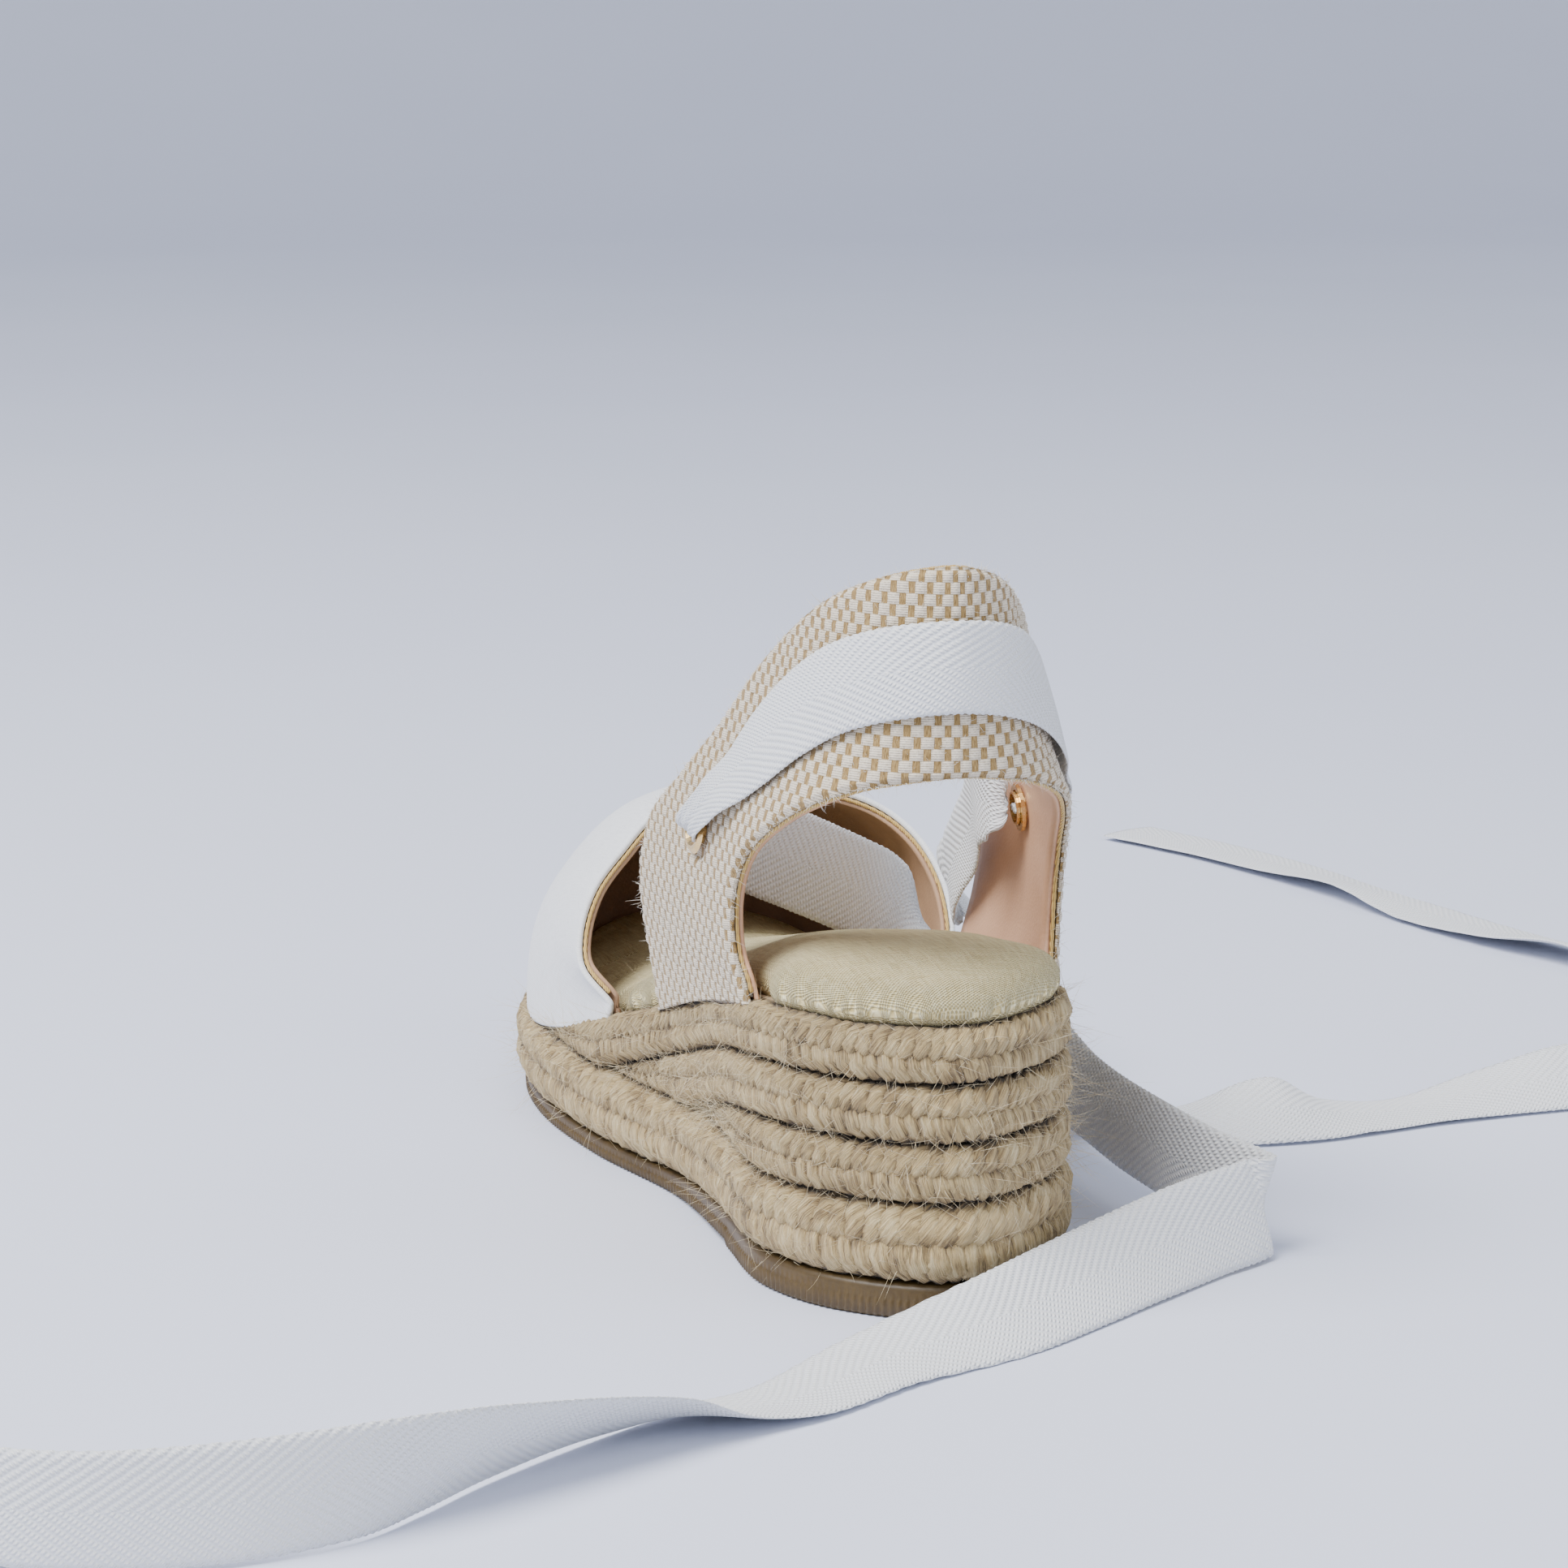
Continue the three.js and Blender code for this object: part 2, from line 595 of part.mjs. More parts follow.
// The stretch round the back of the strap runs from inside one eyelet to inside the other.
const TAPE_OFF = TAPE_THICKNESS / 2 + GAP + 0.35;
const TAPE_BILLOW = 0.9; // it stands off the strap a little on the inner side
function heelTape() {
  const through = (u, depth) => {
    const at = strapSurface(u, EYELET_V).addScaledVector(strapOut(u, EYELET_V), depth);
    const edge = strapUpper.getPoint(u).sub(strapLower.getPoint(u)).normalize();
    return [at, edge, TAPE_GATHERED];
  };
  const { outer, inner } = EYELET_AT;
  const count = 16;
  const round = Array.from({ length: count - 1 }, (_, i) => {
    const t = (i + 1) / count;
    const u = lerp(outer, inner, t);
    const near = Math.min(t, 1 - t) * count;
    const off = TAPE_OFF + (near < 1.5 ? 2.6 : 0.5) + TAPE_BILLOW * smoothstep(t, 0.62, 0.84);
    const [at, edge] = through(u, off);
    return [at, edge, lerp(TAPE_GATHERED * 2.4, TAPE_WIDTH, clamp((near - 1) / 2.2, 0, 1))];
  });
  const inside = -STACK - 2;
  const outside = 2.4;
  return tapeRun(
    [
      through(outer, inside),
      through(outer, 0),
      through(outer, outside),
      ...round,
      through(inner, outside),
      through(inner, 0),
      through(inner, inside),
    ],
    96,
  );
}
// The two free runs of the lace leave the eyelets on the inside of the strap, cross the pad and drop
// over the inner edge of the sole between the strap and the toe cap. They lie on the floor beside
// the shoe. Each point is [x, y, z, direction across the tape, width], in the finished sandal's frame.
const OUTER_RUN = [
  [-26.6, -60.3, 80.3, 0, 0.75, -0.66, 3.6],
  [-24.8, -59.8, 80, 0.1, 0.8, -0.4, 5],
  [-21.6, -55, 77.7, 0.35, 0.5, 0.6, 12],
  [-16.9, -46.5, 73.6, 0.46, 0.1, 0.88, TAPE_WIDTH],
  [-6.4, -37, 67.8, 0.46, 0.1, 0.88, TAPE_WIDTH],
  [6.6, -25, 60.6, 0.46, 0.14, 0.86, TAPE_WIDTH],
  [20.6, -10.5, 52.2, 0.38, 0.5, 0.78, TAPE_WIDTH],
  [27.4, -8.9, 46.2, 0.15, 0.97, 0.1, TAPE_WIDTH],
  [32, -10.1, 42.8, 0, 0.98, -0.15, TAPE_WIDTH],
  [36.9, -11.9, 38.8, 0, 0.92, 0.35, TAPE_WIDTH],
  [40.6, -15.5, 31, 0, 0.6, 0.8, TAPE_WIDTH],
  [44.2, -21, 25, 0, 0.2, 0.98, TAPE_WIDTH],
  [49.6, -26.5, 20.5, 0, 0, 1, TAPE_WIDTH],
  [52.9, -34.5, 17.2, 0, 0, 1, TAPE_WIDTH],
  [54.6, -50.5, 15.6, 0, 0, 1, TAPE_WIDTH],
  [57.2, -68.5, 14.6, 0, 0.02, 1, TAPE_WIDTH],
  [61.8, -83, 12.4, 0.03, 0.1, 0.98, TAPE_WIDTH],
  [66.6, -93, 10.6, 0.12, 0.3, 0.94, TAPE_WIDTH],
  [67.8, -96.3, 10.1, 0.13, 0.36, 0.93, TAPE_WIDTH],
  [65.4, -98.2, 9.8, 0.1, 0.36, 0.93, TAPE_WIDTH],
  [53.6, -104.1, 8.9, -0.15, 0.4, 0.9, TAPE_WIDTH],
  [37.1, -113.5, 7.3, -0.4, 0.56, 0.73, TAPE_WIDTH],
  [20.6, -124.9, 6.1, -0.44, 0.63, 0.62, TAPE_WIDTH],
  [4.6, -135.5, 4.9, -0.46, 0.7, 0.5, TAPE_WIDTH],
  [-20.4, -146.5, 2.2, -0.42, 0.89, 0.18, TAPE_WIDTH],
  [-40.4, -160, 0.9, -0.3, 0.95, 0, TAPE_WIDTH],
  [-53.4, -165.5, 1.9, -0.1, 0.98, -0.16, TAPE_WIDTH],
  [-66.4, -172.3, 4.6, -0.26, 0.83, -0.48, TAPE_WIDTH],
  [-78.9, -180, 6.6, -0.35, 0.69, -0.63, TAPE_WIDTH],
  [-95.1, -190.8, 8.3, -0.31, 0.5, -0.81, TAPE_WIDTH],
  [-108.6, -200.5, 9.5, -0.2, 0.28, -0.94, TAPE_WIDTH],
  [-121.7, -207.9, 10, -0.05, 0.07, -1, TAPE_WIDTH],
  [-143.2, -213, 10.1, 0, -0.06, -1, TAPE_WIDTH],
  [-165.4, -211, 10.1, 0, 0, -1, TAPE_WIDTH],
  [-185.4, -200.5, 10.1, 0, 0, -1, TAPE_WIDTH],
  [-201.4, -183.5, 10.1, 0.1, 0, -1, TAPE_WIDTH],
  [-213.4, -164.5, 9.6, 0.3, 0.1, -0.95, TAPE_WIDTH],
];
const INNER_RUN = [
  [27.2, -62.6, 81.8, 0, 0.75, -0.66, 3.6],
  [25.2, -62.4, 81.9, -0.1, 0.6, 0.5, 8],
  [23.5, -60.1, 82.6, -0.3, 0.6, 0.7, 14],
  [24, -53, 82, -0.3, 0.75, 0.55, 17],
  [26.4, -43.5, 78.6, -0.1, 0.8, 0.6, TAPE_WIDTH],
  [28.6, -33.5, 72.2, 0.1, 0.86, 0.5, TAPE_WIDTH],
  [29, -24, 65.6, 0.14, 0.9, 0.42, TAPE_WIDTH],
  [30, -15.5, 59.5, 0.12, 0.93, 0.36, TAPE_WIDTH],
  [31.8, -10.3, 55, 0.1, 0.94, 0.33, TAPE_WIDTH],
  [39.1, -10.3, 49, 0, 0.98, 0.1, TAPE_WIDTH],
  [47.4, -8.9, 42.5, 0, 0.99, 0.1, TAPE_WIDTH],
  [53.6, -5.5, 33, 0, 0.99, 0.1, TAPE_WIDTH],
  [56.6, -2, 22.5, 0, 1, 0, TAPE_WIDTH],
  [58.6, 0.3, 12.5, 0, 1, 0, TAPE_WIDTH],
  [62.1, 1.9, 5, 0, 1, 0, TAPE_WIDTH],
  [68.1, 2.1, 1.3, 0, 1, 0, TAPE_WIDTH],
  [78.6, -3.5, 1.6, 0.42, 0.9, 0.05, TAPE_WIDTH],
  [90.6, -11.9, 4.2, 0.42, 0.82, 0.4, TAPE_WIDTH],
  [103.6, -13.9, 5.6, 0.05, 0.86, 0.5, TAPE_WIDTH],
  [118.6, -10.2, 2.4, -0.22, 0.96, 0.14, TAPE_WIDTH],
  [135.6, -5.9, 1.2, -0.2, 0.98, 0.02, TAPE_WIDTH],
  [155.6, -3.1, 3.2, -0.08, 0.96, 0.26, TAPE_WIDTH],
  [176.6, -1.5, 5.4, -0.1, 0.86, 0.5, TAPE_WIDTH],
  [200.6, 5.5, 3.4, -0.4, 0.88, 0.24, TAPE_WIDTH],
  [222.6, 19, 1.3, -0.66, 0.75, 0, TAPE_WIDTH],
  [239.6, 40.5, 1.2, -0.88, 0.47, 0, TAPE_WIDTH],
  [246.6, 67.5, 1.2, -1, 0.05, 0, TAPE_WIDTH],
  [241.6, 94.5, 1.8, -0.97, -0.22, 0.08, TAPE_WIDTH],
  [232.1, 120.5, 3.6, -0.9, -0.33, 0.28, TAPE_WIDTH],
  [223.1, 146.5, 2, -0.94, -0.3, 0.1, TAPE_WIDTH],
  [215.1, 176.5, 1.2, -0.97, -0.22, 0.02, TAPE_WIDTH],
  [208.1, 207.5, 2.6, -0.96, -0.2, 0.2, TAPE_WIDTH],
  [201.1, 238.5, 1.6, -0.95, -0.28, 0.06, TAPE_WIDTH],
  [190.6, 271.5, 1.2, -0.9, -0.42, 0.02, TAPE_WIDTH],
  [176.6, 301.5, 1.2, -0.88, -0.5, 0, TAPE_WIDTH],
];
const RUN_STEPS = 110;
const layRun = (rows) =>
  tapeRun(
    rows.map(([x, y, z, wx, wy, wz, width]) => [vec(x, y, z), vec(wx, wy, wz), width]),
    RUN_STEPS,
  );

// ---- assembly -----------------------------------------------------------------------------------------
const finish = (color, roughness, metalness = 0) =>
  new THREE.MeshStandardMaterial({ color, roughness, metalness });
const FINISHES = {
  gumRubber: finish(0x8a6d47, 0.55),
  cork: finish(0xb08a5c, 0.9),
  jute: finish(0xc4b190, 0.95),
  board: finish(0xa98f6b, 0.9),
  foam: finish(0xe6e2d4, 0.95),
  linen: finish(0xd9d1b0, 0.9),
  canvas: finish(0xf0eff0, 0.85),
  basketWeave: finish(0xdccdb4, 0.9),
  stiffener: finish(0xe9e6df, 0.8),
  leather: finish(0xb98b6d, 0.6),
  goldThread: finish(0xb8892c, 0.5),
  paleGold: finish(0xd9b98a, 0.25, 1),
  cottonTape: finish(0xf2f2f4, 0.85),
};

const shoe = new THREE.Group();
function add(name, material, manifold, group = shoe) {
  const mesh = new THREE.Mesh(toGeometry(manifold), FINISHES[material]);
  mesh.name = name;
  group.add(mesh);
}

add("outsole", "gumRubber", outsole());
add("wedge_core", "cork", wedgeCore());
["bottom", "lower_middle", "upper_middle", "top"].forEach((place, row) =>
  add(`braid_${place}`, "jute", braidRow(row)),
);
add("insole_board", "board", insoleBoard());
add("footbed_foam", "foam", footbedFoam());
add("footbed_cover", "linen", footbedCover());

const holes = eyeletHole(EYELET_AT.outer).add(eyeletHole(EYELET_AT.inner));
const strapLayers = {
  strap_fabric: ["basketWeave", strapSheet(fabricDepths).subtract(holes)],
  strap_stiffener: ["stiffener", strapSheet(stiffenerDepths, EDGE).subtract(holes)],
  strap_lining: ["leather", strapSheet(liningDepths).subtract(holes)],
};
for (const [name, [material, layer]] of Object.entries(strapLayers)) add(name, material, layer);
for (const [side, u] of Object.entries(EYELET_AT)) {
  add(`eyelet_${side}`, "paleGold", eyelet(u));
  add(`eyelet_washer_${side}`, "paleGold", washer(u));
}

add("toe_cap_canvas", "canvas", capSheet(fabricDepths));
add("toe_cap_lining", "leather", capSheet(liningDepths));
add("toe_puff", "stiffener", capSheet(stiffenerDepths, PUFF));

const THREADS = {
  strap_thread_lower: [strapSurface, strapMiddle, 0, 0.012, 0.988, 64],
  strap_thread_upper: [strapSurface, strapMiddle, 1, 0.012, 0.988, 64],
  toe_cap_thread: [capSurface, capMiddle, 0, 0.02, 0.98, 56],
};
for (const [name, settings] of Object.entries(THREADS)) add(name, "goldThread", piping(...settings));

add("lace_tape_heel", "cottonTape", heelTape());

// The origin is on the floor under the middle of the sole's box.
const box = new THREE.Box3().setFromPoints(outlinePoints);
shoe.position.set(-(box.min.x + box.max.x) / 2, -(box.min.y + box.max.y) / 2, 0);
const sandal = new THREE.Group().add(shoe);
add("lace_run_outer", "cottonTape", layRun(OUTER_RUN), sandal);
add("lace_run_inner", "cottonTape", layRun(INNER_RUN), sandal);

export default sandal;
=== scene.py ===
# %% [markdown]
# # Wedge sandal
# A left espadrille sandal: four rows of jute braid round a wedge, a padded linen footbed, a white
# canvas toe cap, a woven strap and a long herringbone tape. The measured model gives every place
# and size; the pieces below give it braid, weave, stitching, fibres and finishes.

# %% Load the measured model
import math

import bpy
import bmesh
import numpy as np
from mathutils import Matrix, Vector
from mathutils.bvhtree import BVHTree
from mathutils.geometry import tessellate_polygon


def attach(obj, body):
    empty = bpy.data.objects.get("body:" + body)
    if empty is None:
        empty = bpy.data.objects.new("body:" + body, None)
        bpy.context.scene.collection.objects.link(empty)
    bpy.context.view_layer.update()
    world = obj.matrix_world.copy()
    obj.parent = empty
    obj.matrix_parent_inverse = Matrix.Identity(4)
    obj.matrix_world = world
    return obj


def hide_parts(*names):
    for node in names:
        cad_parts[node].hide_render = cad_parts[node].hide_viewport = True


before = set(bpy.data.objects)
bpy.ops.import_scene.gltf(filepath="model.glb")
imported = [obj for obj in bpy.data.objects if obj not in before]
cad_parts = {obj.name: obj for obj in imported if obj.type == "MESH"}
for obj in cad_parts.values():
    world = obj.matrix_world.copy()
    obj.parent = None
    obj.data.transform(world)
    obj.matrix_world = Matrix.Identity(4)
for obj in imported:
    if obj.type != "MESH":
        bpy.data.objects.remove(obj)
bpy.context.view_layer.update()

RNG = np.random.default_rng(7)
MM = 0.001
SHIFT = np.array([0.6, -122.5, 0.0])  # from the heel's rear to the middle of the sole, in mm
print("nodes:", len(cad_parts))

# %% [markdown]
# ## Camera
# The shoe is seen from behind and a little to its outer side, from above the strap.

# %% Camera
camera = bpy.data.objects.new("camera", bpy.data.cameras.new("camera"))
bpy.context.scene.collection.objects.link(camera)
camera.location = (-0.2227, -0.8609, 0.2406)
camera.rotation_euler = (math.radians(90 - 10.45), 0, math.radians(-14.47))
camera.data.sensor_width = 36
camera.data.lens = 102.5
bpy.context.scene.camera = camera


# %% [markdown]
# ## Helpers
# Nodes of a material are made and joined by short calls, so that each recipe below reads as one.

# %% Material helpers
class Recipe:
    """One material's nodes: each call adds a node and returns its first output."""

    def __init__(self, name):
        self.material = bpy.data.materials.new(name)
        self.material.use_nodes = True
        self.tree = self.material.node_tree
        self.shader = self.tree.nodes["Principled BSDF"]

    def add(self, kind, inputs=(), output=0, **settings):
        node = self.tree.nodes.new("ShaderNode" + kind)
        for key, value in settings.items():
            setattr(node, key, value)
        for key, value in dict(inputs).items():
            self.feed(node.inputs[key], value)
        return node.outputs[output]

    def feed(self, socket, value):
        if isinstance(value, bpy.types.NodeSocket):
            self.tree.links.new(value, socket)
        elif isinstance(value, tuple) and socket.type == "RGBA" and len(value) == 3:
            socket.default_value = (*value, 1)
        else:
            socket.default_value = value

    def math(self, operation, a, b=0.0, c=0.0):
        return self.add("Math", {0: a, 1: b, 2: c}, operation=operation)

    def times(self, a, b):
        return self.math("MULTIPLY", a, b)

    def plus(self, a, b):
        return self.math("ADD", a, b)

    def mix(self, share, a, b, blend="MIX"):
        inputs = {"Factor": share, 6: a, 7: b}
        return self.add("Mix", inputs, output=2, data_type="RGBA", blend_type=blend)

    def ramp(self, value, stops):
        output = self.add("ValToRGB", {0: value})
        ramp = output.node.color_ramp
        while len(ramp.elements) < len(stops):
            ramp.elements.new(0.5)
        for element, (place, colour) in zip(ramp.elements, stops):
            element.position = place
            element.color = (*colour, 1)
        return output

    def place(self, scale=1.0, kind="Object"):
        point = self.add("TexCoord", output={"Object": 3, "UV": 2}[kind])
        size = scale if isinstance(scale, tuple) else (scale, scale, scale)
        return self.add("Mapping", {"Vector": point, "Scale": size})

    def stretched(self, x, y, along, across):
        """The point x, y with each value multiplied by its own scale."""
        scaled = {0: self.times(x, along), 1: self.times(y, across)}
        return self.add("CombineXYZ", scaled)

    def split(self, vector):
        return self.add("SeparateXYZ", {0: vector}).node.outputs

    def noise(self, vector, scale, detail=3.0, rough=0.55):
        inputs = {"Vector": vector, "Scale": scale, "Detail": detail, "Roughness": rough}
        return self.add("TexNoise", inputs)

    def bump(self, height, strength, distance, normal=None):
        inputs = {"Height": height, "Strength": strength, "Distance": distance}
        if normal is not None:
            inputs["Normal"] = normal
        return self.add("Bump", inputs)

    def finish(self, colour, roughness, normal=None, **others):
        self.feed(self.shader.inputs["Base Color"], colour)
        self.feed(self.shader.inputs["Roughness"], roughness)
        if normal is not None:
            self.feed(self.shader.inputs["Normal"], normal)
        for key, value in others.items():
            self.feed(self.shader.inputs[key.replace("_", " ")], value)
        return self.material


# %% Mesh helpers
def mesh_object(name, vertices, faces, material, uv=None, smooth=True):
    """A mesh object from points in metres, with one UV pair per face corner."""
    mesh = bpy.data.meshes.new(name)
    mesh.from_pydata(np.asarray(vertices, float).tolist(), [], [list(f) for f in faces])
    if uv is not None:
        layer = mesh.uv_layers.new(name="UVMap")
        layer.data.foreach_set("uv", np.asarray(uv, float).ravel())
    mesh.polygons.foreach_set("use_smooth", [smooth] * len(mesh.polygons))
    mesh.materials.append(material)
    piece = bpy.data.objects.new(name, mesh)
    bpy.context.scene.collection.objects.link(piece)
    mesh.validate()
    return piece


def grid_faces(rows, columns, closed_rows=False, closed_columns=False, start=0):
    """Faces of a grid of points, row by row."""
    faces = []
    for i in range(rows if closed_rows else rows - 1):
        for j in range(columns if closed_columns else columns - 1):
            a, b = i * columns, ((i + 1) % rows) * columns
            k = (j + 1) % columns
            faces.append((start + a + j, start + a + k, start + b + k, start + b + j))
    return faces


def turned_out(piece):
    """Makes the faces point outwards."""
    work = bmesh.new()
    work.from_mesh(piece.data)
    bmesh.ops.recalc_face_normals(work, faces=work.faces)
    if work.calc_volume(signed=True) < 0:
        bmesh.ops.reverse_faces(work, faces=work.faces)
    work.to_mesh(piece.data)
    work.free()
    return piece


def unit(v):
    return v / np.maximum(np.linalg.norm(v, axis=-1, keepdims=True), 1e-12)


def spline(points, closed=False):
    """A centripetal Catmull-Rom curve through the points: at(t) for t from 0 to 1."""
    points = np.asarray(points, float)
    count = len(points)

    def at(t):
        place = t * (count if closed else count - 1)
        i = int(min(math.floor(place), count - (1 if closed else 2)))
        w = place - i
        p1, p2 = points[i % count], points[(i + 1) % count]
        p0 = points[(i - 1) % count] if closed or i > 0 else 2 * points[0] - points[1]
        p3 = points[(i + 2) % count] if closed or i + 2 < count else 2 * points[-1] - points[-2]
        pairs = ((p0, p1), (p1, p2), (p2, p3))
        d0, d1, d2 = (max(np.linalg.norm(b - a) ** 0.5, 1e-4) for a, b in pairs)
        m1 = ((p1 - p0) / d0 - (p2 - p0) / (d0 + d1) + (p2 - p1) / d1) * d1
        m2 = ((p2 - p1) / d1 - (p3 - p1) / (d1 + d2) + (p3 - p2) / d2) * d1
        return (
            p1 + m1 * w + (3 * (p2 - p1) - 2 * m1 - m2) * w * w + (2 * (p1 - p2) + m1 + m2) * w**3
        )

    return at


def smoothstep(x, low, high):
    t = np.clip((x - low) / (high - low), 0, 1)
    return t * t * (3 - 2 * t)


def lerp(a, b, t):
    return a + (b - a) * t


def to_part(points):
    """From millimetres measured from the heel's rear to metres in the part's frame."""
    return (np.asarray(points, float) + SHIFT) * MM


print("helpers ready")

# %% [markdown]
# ## The shoe's own curves
# The outline, the slope of the wedge, the strap's edges and the cap's topline are the ones that the
# measured parts were made from, in millimetres from the heel's rear. The woven and braided pieces
# follow them, so that each lies exactly on the piece that it stands for.

# %% Outline and heights
LENGTH = 245.0
HEEL = 30.7  # half the width at the heel
WAIST_OUTER, WAIST_INNER = 32.4, 29.5
BALL_OUTER, BALL_INNER = 45.2, 43.5
HEEL_TOP, BALL_TOP = 53.8, 18.4  # heights of the wedge
TOE_SPRING = 3.5
ARCH_STEP = 2.7  # how far the sole's underside drops behind the arch
SOLE_THICKNESS = 3.7
BRAID_START = 4.0  # height of the lowest braid over the sole's underside
BOTTOM_ROW, UPPER_ROW, TOP_ROW = 14.8, 10.9, 10.4  # full heights of the rows of braid
GIRTHS = [
    (0.048, HEEL * 0.66, HEEL * 0.66),
    (0.125, HEEL * 0.985, HEEL * 0.985),
    (0.24, HEEL * 1.01, HEEL * 0.99),
    (0.385, WAIST_OUTER, WAIST_INNER),
    (0.53, lerp(WAIST_OUTER, BALL_OUTER, 0.68), lerp(WAIST_INNER, BALL_INNER, 0.66)),
    (0.67, BALL_OUTER, BALL_INNER),
    (0.8, BALL_OUTER * 0.925, BALL_INNER * 0.985),
    (0.905, BALL_OUTER * 0.675, BALL_INNER * 0.78),
    (0.968, BALL_OUTER * 0.355, BALL_INNER * 0.47),
]
corners = (
    [(0, 0, 0)]
    + [(inner, share * LENGTH, 0) for share, _, inner in GIRTHS]
    + [(3, LENGTH, 0)]
    + [(-outer, share * LENGTH, 0) for share, outer, _ in reversed(GIRTHS)]
)
rim = spline(corners, closed=True)
dense = np.array([rim(t) for t in np.linspace(0, 1, 4001)])
run = np.concatenate([[0], np.cumsum(np.linalg.norm(np.diff(dense, axis=0), axis=1))])
GIRTH = run[-1]  # once round the sole


def outline(s):
    """Points of the outline at distances s along it, and the directions out of the sole."""
    s = np.mod(s, GIRTH)
    point = np.stack([np.interp(s, run, dense[:, k]) for k in range(3)], -1)
    step = 0.6
    ahead = np.stack([np.interp(np.mod(s + step, GIRTH), run, dense[:, k]) for k in range(3)], -1)
    behind = np.stack([np.interp(np.mod(s - step, GIRTH), run, dense[:, k]) for k in range(3)], -1)
    way = unit(ahead - behind)
    return point, np.stack([way[..., 1], -way[..., 0], 0 * way[..., 0]], -1)


def toe_lift(y):
    return TOE_SPRING * smoothstep(y, 0.82 * LENGTH, 1.04 * LENGTH)


def sole_bottom(y):
    return ARCH_STEP * (1 - smoothstep(y, 0.235 * LENGTH, 0.46 * LENGTH)) + toe_lift(y)


def wedge_top(y):
    return lerp(HEEL_TOP, BALL_TOP, smoothstep(y, 0.08 * LENGTH, 0.775 * LENGTH)) + toe_lift(y)


def row_edges(y):
    """Heights between the four rows of braid at a place along the sole."""
    base = sole_bottom(y) + BRAID_START
    first = np.minimum(base + BOTTOM_ROW, wedge_top(y))
    free = wedge_top(y) - first
    top = np.minimum(free, TOP_ROW)
    upper = np.minimum(free - top, UPPER_ROW)
    return [base, first, wedge_top(y) - top - upper, wedge_top(y) - top, wedge_top(y)]


print(f"once round the sole: {GIRTH:.0f} mm")

# %% [markdown]
# ## Tape lace
# The lace is a 19 mm herringbone tape of white cotton: its diagonal ribs meet along the middle, its
# edges are slightly toothed, and it is gathered into pleats where it goes through an eyelet.

# %% Tape material
def tape_material():
    r = Recipe("herringbone_tape")
    x, y, _ = r.split(r.place(kind="UV"))
    fold = r.math("ABSOLUTE", y)
    slant = r.math("SUBTRACT", x, r.times(fold, 1.5))
    rib = r.math("SINE", r.times(slant, 2 * math.pi / 2.5))
    stitch = r.math("SINE", r.times(r.plus(x, fold), 2 * math.pi / 1.1))
    weft = r.times(r.plus(rib, 1.0), r.plus(r.times(stitch, 0.5), 0.7))
    fuzz = r.noise(r.place(1.0), 2600, 3)
    cloud = r.noise(r.place(1.0), 90, 3)
    shade = r.plus(r.times(weft, 0.36), r.times(fuzz, 0.35))
    whites = [(0.0, (0.62, 0.64, 0.68)), (0.45, (0.82, 0.83, 0.85)), (0.9, (0.91, 0.91, 0.91))]
    colour = r.ramp(shade, whites)
    colour = r.mix(r.times(cloud, 0.12), colour, (0.8, 0.79, 0.76))
    relief = r.plus(weft, r.times(fuzz, 0.5))
    normal = r.bump(relief, 0.75, 0.00022)
    return r.finish(colour, 0.85, normal, Sheen_Weight=0.25)


TAPE = tape_material()
print("tape material")

# %% Tape pieces
TAPE_WIDTH = 19.0
GATHERED = 3.6


def tape(name, points, material, steps, across=16, way=1):
    """A strip of tape along points [x, y, z, direction across, width], in mm, as a closed body."""
    points = np.asarray(points, float)
    line = spline(points[:, :3])
    turn = spline(points[:, 3:6])
    rings, uv_rings, distance = [], [], 0.0
    last = None
    v = np.linspace(-1, 1, across + 1)
    for i in range(steps + 1):
        t = i / steps
        centre = line(t)
        ahead = unit(line(min(t + 1e-4, 1)) - line(max(t - 1e-4, 0)))
        w = turn(t)
        w = unit(w - ahead * w.dot(ahead))
        n = np.cross(ahead, w)
        place = t * (len(points) - 1)
        k = min(int(place), len(points) - 2)
        width = lerp(points[k][6], points[k + 1][6], place - k)
        share = smoothstep(width, GATHERED, TAPE_WIDTH * 0.7)
        distance += 0 if last is None else np.linalg.norm(centre - last)
        last = centre
        pleat = (1 - share) * 0.45 * np.sin(v * 3.2 * math.pi) + share * 0.12 * np.cos(v * math.pi)
        toothed = width / 2 + 0.12 * share * math.sin(distance * 2 * math.pi / 1.6)
        half = 0.42 * np.sqrt(np.clip(1.04 - v**6, 0.05, 1))
        middle = centre + np.outer(v * toothed, w) + np.outer(pleat, n)
        top, low = middle + np.outer(half, n), middle - np.outer(half, n)
        rings.append(np.concatenate([top, low[::-1]]))
        flat = v * TAPE_WIDTH / 2
        along = np.full(2 * across + 2, way * distance)
        uv_rings.append(np.stack([along, np.concatenate([flat, flat[::-1]])], 1))
    size = 2 * across + 2
    vertices = np.concatenate(rings)
    uv_points = np.concatenate(uv_rings)
    faces = grid_faces(steps + 1, size, closed_columns=True)
    for start in (0, steps * size):
        for j in range(across):
            faces.append((start + j, start + size - 1 - j, start + size - 2 - j, start + j + 1))
    uv = uv_points[np.array(faces).ravel()]
    piece = turned_out(mesh_object(name, vertices * MM, faces, material, uv))
    piece["length_mm"] = round(distance, 1)
    return piece, [line(t) * MM for t in np.linspace(0, 1, 160)]


